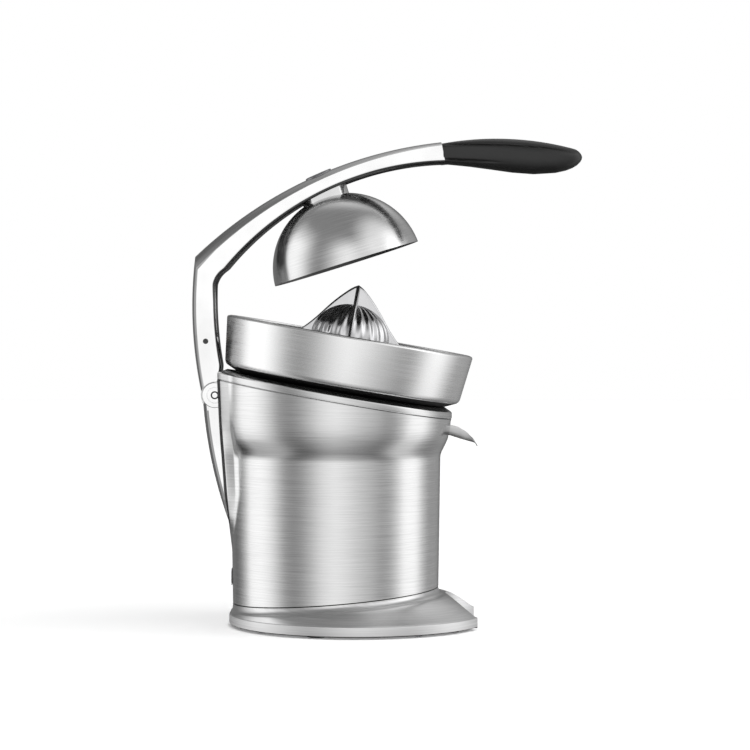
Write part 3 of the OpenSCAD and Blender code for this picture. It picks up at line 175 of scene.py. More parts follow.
def add_piece(name, points, faces, body, slot, replaced=(), sharp=35.0, looks=(), index=None):
    """Makes a piece from points in millimetres: joins points that coincide, turns its faces outward, and gives it
    its looks, one for each face by index."""
    if isinstance(faces, np.ndarray):
        faces = faces.reshape(-1, 4)
    faces = [list(f) for f in faces]
    used = np.unique(np.concatenate([np.asarray(f) for f in faces]))
    renumber = np.zeros(used.max() + 1, int)
    renumber[used] = np.arange(len(used))
    mesh = bpy.data.meshes.new(name)
    mesh.from_pydata((np.asarray(points).reshape(-1, 3)[used] * MM + (AXIS_X, 0, 0)).tolist(), [],
                     [[int(renumber[v]) for v in f] for f in faces])
    for look in looks:
        mesh.materials.append(look)
    if index is not None:
        mesh.polygons.foreach_set("material_index", np.asarray(index, np.int32).ravel())
    work = bmesh.new()
    work.from_mesh(mesh)
    bmesh.ops.remove_doubles(work, verts=work.verts, dist=2e-6)
    bmesh.ops.recalc_face_normals(work, faces=work.faces)
    work.to_mesh(mesh)
    work.free()
    mesh.shade_smooth()
    mesh.set_sharp_from_angle(angle=math.radians(sharp))
    piece = bpy.data.objects.new(name, mesh)
    scene.collection.objects.link(piece)
    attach(piece, body)
    if replaced:
        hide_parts(*replaced)
    return piece


# Long thin streaks of a drawn abrasive: stretched noise, fine across and long along, with a broad cloud over it
streaks = bpy.data.node_groups.new("streaks", "ShaderNodeTree")
for label, way, kind in (("Vector", "INPUT", "Vector"), ("Along", "INPUT", "Float"), ("Across", "INPUT", "Float"),
                         ("Fine", "OUTPUT", "Float"), ("Broad", "OUTPUT", "Float")):
    streaks.interface.new_socket(name=label, in_out=way, socket_type="NodeSocket" + kind)
entry, leaving = streaks.nodes.new("NodeGroupInput"), streaks.nodes.new("NodeGroupOutput")
sizes = node(streaks, "CombineXYZ", X=entry.outputs["Along"], Y=entry.outputs["Along"],
             Z=entry.outputs["Across"])
drawn = node(streaks, "VectorMath", {"operation": "MULTIPLY"}, n0=entry.outputs["Vector"],
             n1=sizes.outputs[0])
fine = node(streaks, "TexNoise", Vector=drawn.outputs[0], Scale=1.0, Detail=3.0, Roughness=0.65)
cloud = node(streaks, "TexNoise", Vector=entry.outputs["Vector"], Scale=28.0, Detail=2.0, Roughness=0.5)
marked = node(streaks, "MapRange", Value=fine.outputs[0], From_Min=0.32, From_Max=0.68)
streaks.links.new(marked.outputs[0], leaving.inputs["Fine"])
streaks.links.new(cloud.outputs[0], leaving.inputs["Broad"])


def new_look(name):
    """An empty material with its output, and the object's own coordinates."""
    look = bpy.data.materials.new(name)
    look.use_nodes = True
    look.node_tree.nodes.clear()
    return look, look.node_tree, node(look.node_tree, "TexCoord").outputs["Object"]


def shade(colour, factor):
    """A colour, or a grey as one number, made lighter or darker by the factor, with its alpha."""
    return tuple(min(1.0, float(c) * factor) for c in np.broadcast_to(colour, 3)) + (1,)


def surface(tree, colour, tones, tone_by, rough, swing, gloss_by, gloss_span, relief, depth, **settings):
    """Ends a material: its colour goes between two tones by one value, its roughness swings by another over a span,
    and a bump follows the relief."""
    tone = node(tree, "Mix", {"data_type": "RGBA"}, n0=tone_by, n6=shade(colour, tones[0]), n7=shade(colour, tones[1]))
    gloss = node(tree, "MapRange", Value=gloss_by, From_Min=gloss_span[0], From_Max=gloss_span[1],
                 To_Min=rough - swing, To_Max=rough + swing)
    bump = node(tree, "Bump", Height=relief, Strength=depth, Distance=0.001)
    shader = node(tree, "BsdfPrincipled", Base_Color=tone.outputs[2], Roughness=gloss.outputs[0],
                  Normal=bump.outputs[0], **settings)
    node(tree, "OutputMaterial", Surface=shader.outputs[0])


def brushed(name, colour, rough, along=20.0, across=1500.0, turn=(0, 0, 0), swing=0.07, depth=0.012, radial=None,
            tones=(0.88, 1.07)):
    """Drawn metal. The streaks are fine along the turned Z, or along the distance from the point radial. They swing
    the roughness, are as deep as depth says, and go between the two tones of the colour."""
    look, tree, place = new_look(name)
    if radial is None:
        place = node(tree, "Mapping", Vector=place, Rotation=turn).outputs[0]
    else:
        out = node(tree, "VectorMath", {"operation": "SUBTRACT"}, n0=place, n1=radial)
        flat = node(tree, "VectorMath", {"operation": "MULTIPLY"}, n0=out.outputs[0], n1=(1, 1, 0))
        far = node(tree, "VectorMath", {"operation": "LENGTH"}, n0=flat.outputs[0])
        way = node(tree, "VectorMath", {"operation": "NORMALIZE"}, n0=flat.outputs[0])
        apart = node(tree, "SeparateXYZ", Vector=way.outputs[0])
        place = node(tree, "CombineXYZ", X=apart.outputs["X"], Y=apart.outputs["Y"],
                     Z=far.outputs["Value"]).outputs[0]
    grain = node(tree, "Group", {"node_tree": streaks}, Vector=place, Along=along, Across=across)
    both = maths(tree, "ADD", grain.outputs["Fine"], grain.outputs["Broad"])
    surface(tree, colour, tones, grain.outputs["Fine"], rough, swing, both, (0.5, 1.5), grain.outputs["Fine"], depth,
            Metallic=1.0)
    return look


base_steel = brushed("base_steel", 0.80, 0.3, along=2.5, across=900.0, swing=0.02, depth=0.0,
                     radial=(AXIS_X + 0.020, 0, 0), tones=(0.88, 1.05))
# Painted shade: the rim's lowest steps are painted near black as the shadow line under the rim
rim_painted_shade = brushed("rim_painted_shade", 0.06, 0.5)
rim_steel = brushed("rim_steel", 0.97, 0.5, along=10.0, across=900.0, swing=0.04, depth=0.001)
BASE_AHEAD, BASE_R, RIM_TOP = 20.0, 118.5, 11.0
BAY_X, BAY_R, WALL = 151.5, 49.5, 4.0
SEAM_Z, SEAM_SLOPE, FOOT_R, FILLET_OUT, FILLET_DOWN = 27.6, math.tan(math.radians(4.6)), 95.0, 7.7, 6.6
BORE_R, LEDGE_R, BORE_LOW, RIM_COUNT, BAY_COUNT = 87.0, 94.0, 8.0, 260, 90
# Where rim and bay meet at a wing's tip, in degrees about their own centres: on the top, the wall and underneath
TOP_TIPS, WALL_TIPS, UNDER_TIPS = (22.4, 64.6), (22.05, 64.0), (23.85, 61.2)


def apron_height(x, y):
    """Height of the base's top: a concave quarter round of the fillet's two sizes at the body's foot, then a flank
    that falls to the rim's top as a power of the way out along the ray from the axis. Where the rim comes close to
    the foot, the fillet narrows to three quarters of what is left."""
    r, c = np.hypot(x, y), x / np.hypot(x, y)
    out = BASE_AHEAD * c + np.sqrt((BASE_R - 1) ** 2 - BASE_AHEAD ** 2 * (1 - c * c))
    wide = np.minimum(FILLET_OUT, 0.75 * (out - FOOT_R))
    into = np.clip((FOOT_R + wide - r) / wide, 0, 1)
    seam = SEAM_Z + np.minimum(r, FOOT_R + wide) * c * SEAM_SLOPE
    foot = seam - FILLET_DOWN * np.sqrt(1 - into ** 2)
    way = np.clip((r - FOOT_R - wide) / (out - FOOT_R - wide), 0, 1)
    return foot + (RIM_TOP - foot) * way ** 1.3


def base_edge(rim_r, bay_r, rim_tip, bay_tip):
    """The base's outline: the rim's circle from one wing's tip round to the other, then the bay's back again."""
    rim = np.radians(np.linspace(rim_tip, 360 - rim_tip, RIM_COUNT))
    bay = np.radians(np.linspace(180 + bay_tip, 180 - bay_tip, BAY_COUNT))
    return np.concatenate([np.stack([BASE_AHEAD + rim_r * np.cos(rim), rim_r * np.sin(rim)], -1),
                           np.stack([BAY_X + bay_r * np.cos(bay), bay_r * np.sin(bay)], -1)])


top_edge = base_edge(BASE_R - 1, BAY_R + 0.9, *TOP_TIPS)
bay_side = (np.arange(len(top_edge)) >= RIM_COUNT)[:, None]
ray = top_edge / np.linalg.norm(top_edge, axis=1, keepdims=True)
reach = np.linalg.norm(top_edge, axis=1, keepdims=True)
fillet_end = np.minimum(FILLET_OUT, 0.75 * (reach - FOOT_R))
out_r = np.concatenate([FOOT_R + fillet_end * (1 - np.cos(np.linspace(0, np.pi / 2, 10))),
                        FOOT_R + fillet_end + (reach - FOOT_R - fillet_end) * np.linspace(0.05, 1, 16)], 1)
top = ray[:, None, :] * out_r[..., None]
top = np.concatenate([top, apron_height(top[..., 0], top[..., 1])[..., None]], -1)
ridge = top[:, -1:, 2]
start = np.concatenate([ray[:, None, :] * np.array([[BORE_R], [BORE_R], [LEDGE_R]]),
                        np.broadcast_to(np.array([BORE_LOW, 0, 0])[None, :, None], (len(ray), 3, 1))], -1)
start[:, 1:, 2] = top[:, :1, 2] - [[3.0, 0.25]]
# The edge and the wall below it: distance out on the rim, distance out on the bay, depth below each top edge
WALL_STEPS = [(BASE_R - 0.45, BAY_R + 0.4, 0.12, 0.1), (BASE_R - 0.08, BAY_R + 0.08, 0.5, 0.45),
              (BASE_R, BAY_R, 1.1, 1.2), (BASE_R, BAY_R, 1.4, None), (BASE_R, BAY_R, 7.6, None),
              (BASE_R - 0.2, BAY_R, 8.4, None), (BASE_R - 0.8, BAY_R + 0.1, 9.0, None),
              (BASE_R - 2.2, BAY_R + 0.6, 9.4, None), (BASE_R - WALL, BAY_R + WALL, 9.5, None),
              (BASE_R - WALL, BAY_R + WALL, 3.0, None)]
BAND_STEPS, UNDER_STEPS = 5, 4
levels = []
for rim_r, bay_r, drop, bay_drop in WALL_STEPS:
    inner = rim_r <= BASE_R - WALL
    plan = base_edge(rim_r, bay_r, *(UNDER_TIPS if inner else WALL_TIPS))
    fixed = np.full((len(plan), 1), RIM_TOP - drop)
    z = np.where(bay_side, ridge - bay_drop, fixed) if bay_drop is not None else fixed
    levels.append(np.concatenate([plan, z], 1)[:, None, :])
section = np.concatenate([start, top] + levels, 1)
faces = grid_faces(section.shape[:2], (True, True))
band = np.zeros(faces.shape[:2], int)
wall_from = start.shape[1] + top.shape[1]
band[:, wall_from:wall_from + BAND_STEPS] = 1
# The steps under the rim's band take the painted shade
band[:, wall_from + BAND_STEPS:wall_from + BAND_STEPS + UNDER_STEPS] = 2
add_piece("base", section, faces, "housing", "base_metal", ["base_casting"], 30.0,
          [base_steel, rim_steel, rim_painted_shade], band)


# ---- Body: sheet steel drum, flared at the top, with a raised spine down its back ----
# Brushed round the drum. Rows of points go up it, and columns round it from the front.
def shell(outer, inner, wrap=(True, False), keep=None):
    """A thin wall between two grids of points: both faces where keep is true, and a strip along every edge of it.
    Returns its points, its faces and each face's column."""
    quads = grid_faces(outer.shape[:2], wrap)
    keep = np.ones(quads.shape[:2], bool) if keep is None else keep
    column = np.broadcast_to(np.arange(quads.shape[1]), quads.shape[:2])
    count = outer.shape[0] * outer.shape[1]
    faces, columns = [quads[keep], quads[keep][:, ::-1] + count], [column[keep], column[keep]]
    for axis, step, (first, second) in ((0, 1, (1, 2)), (0, -1, (3, 0)), (1, 1, (2, 3)), (1, -1, (0, 1))):
        beyond = np.roll(keep, -step, axis)
        if not wrap[axis]:
            beyond[(slice(None),) * axis + (-1 if step > 0 else 0,)] = False
        border = keep & ~beyond
        a, b = quads[border][:, first], quads[border][:, second]
        faces.append(np.stack([b, a, a + count, b + count], -1))
        columns.append(column[border])
    return np.concatenate([outer.reshape(-1, 3), inner.reshape(-1, 3)]), np.concatenate(faces), np.concatenate(columns)


BOWL_X, BOWL_Z, TILT = 13.3, 265.4, math.radians(9.8)
SEAM_A, SHEET = -57.9, 1.2
POCKET_HALF, POCKET_X = 29.4, -96.4
DRUM = np.array([(0, 94.6), (22, 95), (157.5, 97), (160, 98.1), (165, 100.7), (170, 103.1), (175, 104.9), (180, 106.0),
                 (186, 106.8), (193, 107.3), (201, 107.6), (300, 107.6)])
# Level, back, half of the flat, then the spine's flank: how far back and half width, and where it meets the drum
SPINE = np.array([(78, 96.6, 6, 95.4, 14, 94.5), (95, 97.9, 20, 93, 28.5, 91.1), (123, 101.6, 31.5, 90.5, 38, 87),
                  (158, 104.6, 30.5, 92, 37, 87.9), (190, 106.4, 33.2, 95.2, 50, 92.4),
                  (227, 107.9, 34.4, 96.2, 50.5, 93.4), (245, 108.4, 34.4, 96.6, 51, 93.5)])


def deck_z(x, a):
    """Height of the plane at a along the bowl's axis, at x."""
    return BOWL_Z + (a - (x - BOWL_X) * math.sin(TILT)) / math.cos(TILT)


def drum_r(z):
    """The drum's radius: the table above, its corners softened by a running mean over 5 mm."""
    return sum(np.interp(z + d, DRUM[:, 0], DRUM[:, 1]) for d in np.linspace(-2.5, 2.5, 5)) / 5


FRONT = np.array([0, 2.2, 4.4, 6.66])
SIDE = np.linspace(1 / 72, 1, 72)
TAIL_Z, TAIL_RISE, CORNER_DARK_Z, MOUTH_HALF = 70, 8, 97, 3
# Points of the outline on the rounded corner, on the flat back, and on the part of it that sinks into the pocket
CORNER_COUNT, FLAT_COUNT, POCKET_COUNT = 5, 6, 4


def body_outline(z):
    """Half of the body's outline at each level z (rows, columns): the drum's arc, the spine's flank, its slanted face,
    a corner rounded as a parabola, and the flat back to y = 0. The spine's table gives the corners."""
    r = drum_r(z)
    table = [np.interp(z, SPINE[:, 0], SPINE[:, k]) for k in range(1, 6)]
    rise = np.clip((z - TAIL_Z) / TAIL_RISE, 0, 1)
    back, flat, flank, half, meet = table
    flank = rise * flank + (1 - rise) * np.sqrt(r * r - 14.0 ** 2)
    meet = rise * meet + (1 - rise) * np.sqrt(r * r - 18.0 ** 2)
    end = np.degrees(np.arctan2(np.sqrt(r * r - meet ** 2), -meet))
    arc = np.concatenate([FRONT + 0 * z, FRONT[-1] + (end - FRONT[-1]) * SIDE], -1)
    arc = np.stack([r * np.cos(np.radians(arc)), r * np.sin(np.radians(arc))], -1)
    p2 = arc[:, -1:]
    p1 = np.stack([-flank, half], -1)
    edge_x = -(rise * back + (1 - rise) * np.sqrt(r * r - flat ** 2))
    p0 = np.stack([edge_x, flat], -1)
    bevel = p2 + (p1 - p2) * np.linspace(0, 1, 4)[None, 1:, None]
    slant = p1 + (p0 - p1) * np.array([0.06, 0.3, 0.6])[None, :, None]
    limit = np.minimum(POCKET_HALF, 0.85 * flat)
    y = np.concatenate([limit + 0.2, limit, limit, limit * 0.66, limit * 0.33, 0 * z], -1)
    x = -(rise * back + (1 - rise) * np.sqrt(r * r - y ** 2))
    level = np.stack([x, y], -1)
    t = np.linspace(0, 1, CORNER_COUNT + 2)[None, 1:-1, None]
    corner = (1 - t) ** 2 * slant[:, -1:] + 2 * t * (1 - t) * p0 + t * t * level[:, :1]
    return np.concatenate([arc, bevel, slant, corner, level], 1)


def mirrored(half):
    """Whole rings from their halves, which start and end on y = 0."""
    other = half[:, -2:0:-1] * np.array([1, -1] + [1] * (half.shape[2] - 2))
    return np.concatenate([half, other], 1)


low_x = body_outline(np.array([[40.0]]))[0, :, 0]
high_x = body_outline(np.array([[220.0]]))[0, :, 0]
low_z = SEAM_Z + 0.5 + low_x * SEAM_SLOPE
high_z = deck_z(high_x, SEAM_A) - 0.1
LOW_STEPS = [0, 0.015, 0.04, 0.1, 0.25, 0.5, 0.75, 1]
LEVELS = [64, 68, 71, 74, 78, 83, 89, 95, 104, 113, 123, 131, 140, 147, 152, 155, 157.5, 160, 163, 166, 169, 171.5,
          173.5, 176]
HIGH_STEPS = [0.13, 0.2708, 0.2708, 0.45, 0.62, 0.76, 0.9, 0.96, 0.985, 1]
heights = np.concatenate([low_z + (60 - low_z) * np.array(LOW_STEPS)[:, None],
                          np.broadcast_to(np.array(LEVELS)[:, None], (len(LEVELS), len(low_x))),
                          LEVELS[-1] + (high_z - LEVELS[-1]) * np.array(HIGH_STEPS)[:, None]])
rows, columns = heights.shape
half_body = np.stack([body_outline(heights[:, k:k + 1])[:, k] for k in range(columns)], 1)
half_body = np.concatenate([half_body, heights[..., None]], -1)
pocket_row = len(LOW_STEPS) + len(LEVELS) + 2
half_body[pocket_row:, columns - POCKET_COUNT:, 0] = POCKET_X
outer = mirrored(half_body)
outer[0, :, :2] *= 0.994
outer[-1, :, :2] *= 0.995
inner = outer * (1 - SHEET / 100, 1 - SHEET / 100, 1)
keep = np.ones((rows - 1, outer.shape[1]), bool)
mouth_rows = slice(len(LOW_STEPS) + len(LEVELS) - 2, len(LOW_STEPS) + len(LEVELS) + 6)
keep[mouth_rows, :MOUTH_HALF] = False
keep[mouth_rows, -MOUTH_HALF:] = False
points, faces, column = shell(outer, inner, (False, True), keep)
body_steel = brushed("body_steel", 0.80, 0.22, swing=0.05)
# The spine's two rounded corners are painted near black above its tail: painted shade and painted dark reflection along
# the gap beside the bracket
corner_painted_shade = brushed("corner_painted_shade", 0.05, 0.3)
flat_from = columns - FLAT_COUNT
at_corner = np.isin(np.minimum(column, outer.shape[1] - 1 - column), range(flat_from - CORNER_COUNT, flat_from))
above_tail = points[faces][..., 2].mean(1) > CORNER_DARK_Z
add_piece("body", points, faces, "housing", "brushed_body", ["body_shell"], 30.0, [body_steel, corner_painted_shade],
          at_corner & above_tail)

# ---- Deck: the collar on the body's top edge, and the floor under the bowl ----
# A slightly darker casting, black where the bowl shades it. Its rings follow the body's outline, set in from it.
deck_metal = brushed("deck_metal", 0.76, 0.25, swing=0.05, along=12.0, across=900.0, turn=(0, -TILT, 0))
top_ring = mirrored(body_outline(np.full((1, 1), 225.0)))[0]
pocket_columns = np.zeros(len(top_ring), bool)
pocket_columns[columns - POCKET_COUNT:columns + POCKET_COUNT - 1] = True
top_ring[pocket_columns, 0] = POCKET_X
# Level along the bowl's axis, and how far in from the outline
COLLAR = np.array([(-57.9, 1.3), (-57.6, 0.5), (-57.2, 0.1), (-56.6, 0), (-52.7, 0), (-52.0, 0.2), (-51.5, 0.8),
                   (-51.1, 1.5), (-48.7, 6.2), (-48.6, 7.0), (-49.1, 7.8), (-50.8, 8.6), (-57.9, 9.2), (-57.9, 50),
                   (-57.9, 96.5), (-60.9, 96.5), (-60.9, 2.5)])
SHADED_FROM = 10
scale = 1 - COLLAR[:, 1] / DRUM[-1, 1]
deck_xy = top_ring[:, None, :] * scale[None, :, None]
deck = np.concatenate([deck_xy, deck_z(deck_xy[..., 0], COLLAR[None, :, 0])[..., None]], -1)
faces = grid_faces(deck.shape[:2], (True, True))
# Painted shade, near black: the collar's inner wall and the floor under the bowl, and also the bowl's underside and the
# groove round the hinge pin
shaded = brushed("deck_shaded", 0.05, 0.6)
inward = np.broadcast_to(np.arange(faces.shape[1]) >= SHADED_FROM, faces.shape[:2])
add_piece("deck", deck, faces, "housing", "collar_metal", ["top_deck"], 30.0,
          [deck_metal, shaded], inward)


# ---- Bowl, and the filter basket in it ----
# Spun sheet steel, brushed round. The bowl stands on a ring, and the basket has two rings of slots.
def circle(count):
    """Angles evenly round a circle, as a column."""
    return np.linspace(0, 2 * np.pi, count, endpoint=False)[:, None]


def lathe(radius, height, angle):
    """A grid of points: radii and heights turned to a column of angles."""
    return np.stack([radius * np.cos(angle), radius * np.sin(angle), height + 0 * angle], -1)


def turned(profile, count=144):
    """A grid of points: the outline of (radius, height) points turned round the Z axis."""
    return lathe(*np.asarray(profile, float).T, circle(count))


def set_in(points, x, z, tilt):
    """Points from a frame whose Z axis leans forward by tilt, and whose origin is at x, z."""
    c, s = math.cos(tilt), math.sin(tilt)
    return np.stack([points[..., 0] * c + points[..., 2] * s + x, points[..., 1],
                     -points[..., 0] * s + points[..., 2] * c + z], -1)


def rounded(corners, radius, steps=5):
    """A closed outline with each corner cut back along its two sides by the radius and bridged by a parabola."""
    p = np.asarray(corners, float)
    back, on = np.roll(p, 1, 0) - p, np.roll(p, -1, 0) - p
    size_back, size_on = (np.linalg.norm(v, axis=1, keepdims=True) for v in (back, on))
    reach = np.minimum(np.broadcast_to(radius, len(p))[:, None], 0.45 * np.minimum(size_back, size_on))
    first, last = p + back / size_back * reach, p + on / size_on * reach
    t = np.linspace(0, 1, steps)[None, :, None]
    return ((1 - t) ** 2 * first[:, None] + 2 * t * (1 - t) * p[:, None] + t * t * last[:, None]).reshape(-1, 2)


def join(*parts):
    """One list of points and faces from several."""
    shift = np.cumsum([0] + [len(p) for p, _ in parts])
    return (np.concatenate([p for p, _ in parts]),
            [[int(v) + s for v in f] for s, (_, faces) in zip(shift, parts) for f in faces])


def ring_solid(profile, count=144):
    """A closed outline turned into a ring, as points and faces."""
    return skin(turned(profile, count), (True, True))


bowl_steel = brushed("bowl_steel", 0.96, 0.28, swing=0.05, turn=(0, -TILT, 0), tones=(0.93, 1.04))
BOWL_PROFILE = [(14, -50.1), (93, -48.8), (97.5, -48), (108.5, -42.8), (110, -40), (115, 0), (114.2, 1.4), (111, 2.3),
                (110, 1), (111.5, -1), (108, -40), (106, -42.6), (93, -46.2), (16, -48.1), (16, -24.1), (14, -24.1)]
BOWL_DARK = -43.2
BOWL_ROUND = [0.3, 2, 2.5, 1.5, 1.5, 0.5, 0.5, 1, 0.6, 1, 2, 2, 2, 2, 0.6, 0.6]
bowl_points, bowl_faces = join(ring_solid(rounded(BOWL_PROFILE, BOWL_ROUND), 180),
                               ring_solid([(71, -57.9), (74, -57.9), (74, -48.5), (71, -48.5)], 120))
# Below BOWL_DARK the bowl's underside is painted near black as shade
bowl_under = bowl_points[np.array(bowl_faces)][..., 2].max(1) < BOWL_DARK
add_piece("bowl", set_in(bowl_points, BOWL_X, BOWL_Z, TILT), bowl_faces, "housing", "brushed_body", ["juice_bowl"],
          30.0, [bowl_steel, shaded], bowl_under)

# The steps of the basket's line that the outer slots and, in every second place, the inner ones cut
OUTER_SLOTS, INNER_SLOTS = 5, 3
SLOTS, BASKET_A = 36, -43.1
SLOT_PLACES = np.array([0.435, 0.565, 0.75, 0.0, 0.25])
sector = np.radians(360 / SLOTS)
angle = (np.arange(SLOTS)[:, None] * sector + SLOT_PLACES * sector).ravel()
angle = np.sort(angle)[:, None]
BASKET = np.array([(17, 3), (19, 1), (22, 0), (34, 0), (54, 0), (62, 0), (77, 0), (80, 0), (82.3, 1), (83.6, 2.6),
                   (84, 4.4), (84.5, 14), (85, 23), (85.4, 24), (86.4, 24.6), (89, 24.6)])
basket = lathe(BASKET[:, 0], BASKET_A + BASKET[:, 1], angle)
along = np.gradient(BASKET, axis=0)
along /= np.linalg.norm(along, axis=1, keepdims=True)
above = BASKET + np.stack([-along[:, 1], along[:, 0]], -1) * SHEET
basket_in = lathe(above[:, 0], BASKET_A + above[:, 1], angle)
keep = np.ones((len(angle), len(BASKET) - 1), bool)
slot_column = np.arange(len(angle)) % len(SLOT_PLACES) == 2
keep[slot_column, OUTER_SLOTS] = False
keep[np.flatnonzero(slot_column)[::2], INNER_SLOTS] = False
points, faces, _ = shell(basket, basket_in, (True, False), keep)
basket_steel = brushed("basket_steel", 0.78, 0.3, turn=(0, -TILT, 0))
add_piece("basket", set_in(points, BOWL_X, BOWL_Z, TILT), faces, "housing", "brushed_body", ["filter_basket"], 30.0,
          [basket_steel])


# ---- Juicing cone: cast metal, four tall fins over a low ribbed dome, and a skirt ----
# Polished and a little worn. It sits on the shaft, which turns it.
def loft(rings):
    """A closed skin over rings of points (steps, around, 3), with a face across each end, as points and faces."""
    steps, around = rings.shape[:2]
    quads = grid_faces((steps, around), (False, True)).reshape(-1, 4).tolist()
    return rings.reshape(-1, 3), quads + [list(range(around))[::-1], list(range((steps - 1) * around, steps * around))]


def spun(points, turn):
    """Points turned about the Z axis."""
    c, s = math.cos(turn), math.sin(turn)
    return np.stack([points[..., 0] * c - points[..., 1] * s, points[..., 0] * s + points[..., 1] * c,
                     points[..., 2]], -1)


CONE_R, CONE_TIP, FIN_HALF, FIN_LOW = 55.0, 49.0, 1.9, -12.0
RIBS, RIB_DEPTH, CONE_COUNT, SMOOTHINGS = 24, 0.9, 240, 12
FIN = np.array([(50.8, -12), (50.4, -3), (47.5, 0.2), (43, 4), (34, 13.7), (24.5, 26.5), (16, 36.2), (9, 43), (4, 47.2),
                (0, 49)])
s = np.linspace(0, 1, 60)
knots = np.linspace(0, 1, len(FIN))
half_arch = np.stack([np.interp(s, knots, FIN[:, 0]), np.interp(s, knots, FIN[:, 1])], -1)
kernel = np.array([0.25, 0.5, 0.25])
for _ in range(SMOOTHINGS):
    half_arch[1:-1] = sum(k * half_arch[i:len(half_arch) - 2 + i] for i, k in enumerate(kernel))
arch = np.concatenate([half_arch, half_arch[-2::-1] * (-1, 1)])
along = np.gradient(arch, axis=0)
along /= np.linalg.norm(along, axis=1, keepdims=True)
normal = np.stack([along[:, 1], -along[:, 0]], -1)
bend = np.radians(np.linspace(90, -90, 9))
edge = (arch - normal * FIN_HALF)[:, None, :] + normal[:, None, :] * FIN_HALF * np.cos(bend)[None, :, None]
fin = np.stack([edge[..., 0], np.broadcast_to(FIN_HALF * np.sin(bend), edge.shape[:2]), edge[..., 1]], -1)
foot = np.stack([fin[:, [0, -1], 0], fin[:, [0, -1], 1], np.full((len(arch), 2), FIN_LOW)], -1)
fin = np.concatenate([foot[:, :1], fin, foot[:, 1:]], 1)
angle = circle(CONE_COUNT)
rise = np.linspace(0, np.pi / 2, 24)
ribs = np.cos(angle * RIBS) * RIB_DEPTH
dome_r = 0.66 * CONE_R * np.cos(rise) * (1 + 0 * angle) + ribs * np.sin(rise * 2) ** 0.5
dome_a = -1 + 0.65 * CONE_TIP * np.sin(rise) + 0 * angle
skirt = np.array([(36.3, -2), (46, -3.5), (50.6, -4.6), (53.6, -9), (55, -15), (55, -21.5), (54.4, -22), (53.4, -21.6),
                  (50, -14), (46, -9.5), (8.2, -8), (8.2, -21), (5.4, -21), (5.4, 13), (0, 13)])
cone_r = np.concatenate([dome_r[:, ::-1], np.broadcast_to(skirt[:, 0], (CONE_COUNT, len(skirt)))], 1)
cone_a = np.concatenate([dome_a[:, ::-1], np.broadcast_to(skirt[:, 1], (CONE_COUNT, len(skirt)))], 1)
cone = lathe(cone_r, cone_a, angle)
cone_parts = join(skin(cone), loft(fin), loft(spun(fin, math.pi / 2)))
cone_metal = brushed("cone_metal", (0.72, 0.72, 0.73), 0.22, along=60.0, across=60.0, swing=0.06, depth=0.004)
add_piece("cone", set_in(cone_parts[0], BOWL_X, BOWL_Z, TILT), cone_parts[1], "cone", "cone_metal", ["juicing_cone"],
          40.0, [cone_metal])

# ---- Dome: spun sheet cap that the arm brings down over the cone ----
# Brushed round outside; inside plain and painted dark as shade; its rim a cut edge.
DOME_X, DOME_Z, DOME_TILT, DOME_R, DOME_H, DOME_T = 10.2, 333.6, math.radians(-17.5), 69.2, 65.3, 1.5
sphere = (DOME_R ** 2 + DOME_H ** 2) / (2 * DOME_H)
low = math.asin((DOME_H - sphere) / sphere)
rise = np.linspace(-low, math.pi / 2, 60)
outside = np.stack([sphere * np.cos(rise), DOME_H - sphere + sphere * np.sin(rise)], -1)
inside = np.stack([(sphere - DOME_T) * np.cos(rise), DOME_H - sphere + (sphere - DOME_T) * np.sin(rise)], -1)[::-1]
dome_line = np.concatenate([outside[:-1], [(0, DOME_H)], [(0, DOME_H - DOME_T)], inside[1:]])
grid = set_in(turned(dome_line, 160), DOME_X, DOME_Z, DOME_TILT)
dome_steel = brushed("dome_steel", 0.80, 0.22, swing=0.05, turn=(0, -DOME_TILT, 0))
faces = grid_faces(grid.shape[:2], (True, True))
# Painted shade: the inside of the cap is a dark copy of its steel
dome_inside_shade = brushed("dome_inside_shade", 0.16, 0.5, turn=(0, -DOME_TILT, 0))
within = np.broadcast_to(np.arange(faces.shape[1]) > len(outside), faces.shape[:2])
add_piece("dome", grid, faces, "arm", "brushed_body", ["dome"], 40.0,
          [dome_steel, dome_inside_shade], within)

# ---- Arm: pressed sheet channel, crowned on top, its edges rolled in ----
# The crown is brushed lengthwise, the sides are polished and the rolled edges are painted dark as shade. It hangs on
# the pin, and its sheet ends in the grip.
CROWN_C, CROWN_LINE, BACK_C, BACK_LINE = np.array([138.7, 60.3]), 387.5, np.array([249.8, 294.0]), 382.0
PIN, ARM_T = np.array([-118.51, 262.27]), 2.2
ROOT_TOP, ROOT_LOW = PIN + (216, 183.8), PIN + (219.7, 163.1)
HALF, HALF_GRIP, CROWN_R, BACK_CROWN = 25.0, 14.5, 35.0, 96.0
UNDER_C, FRONT_C = np.array([108.3, 159.8]), np.array([230.9, 301.9])
THROAT_R = 22.0
BEND_X = PIN[0] - 11.1
# How far the crown stops inside the sides, then the chamfer and the rolled edge, low on the arm and higher up
CROWN_IN, CHAMFER_LOW, CHAMFER_HIGH, ROLL_LOW, ROLL_HIGH, ROLL_ROOM = 1.0, 2.1, 0.9, 1.9, 4.2, 7
ROLL_ANGLES = np.radians([15, 30, 45, 60, 75, 90])


def half_at(x):
    """Half the arm's width: full to the bend, then falling evenly to the grip."""
    return HALF + (HALF_GRIP - HALF) * np.clip((x - BEND_X) / (ROOT_TOP[0] - BEND_X), 0, 1)


def dip(y, rho):
    """How far a crown of radius rho has fallen at y from the middle."""
    return rho - np.sqrt(rho * rho - y * y)


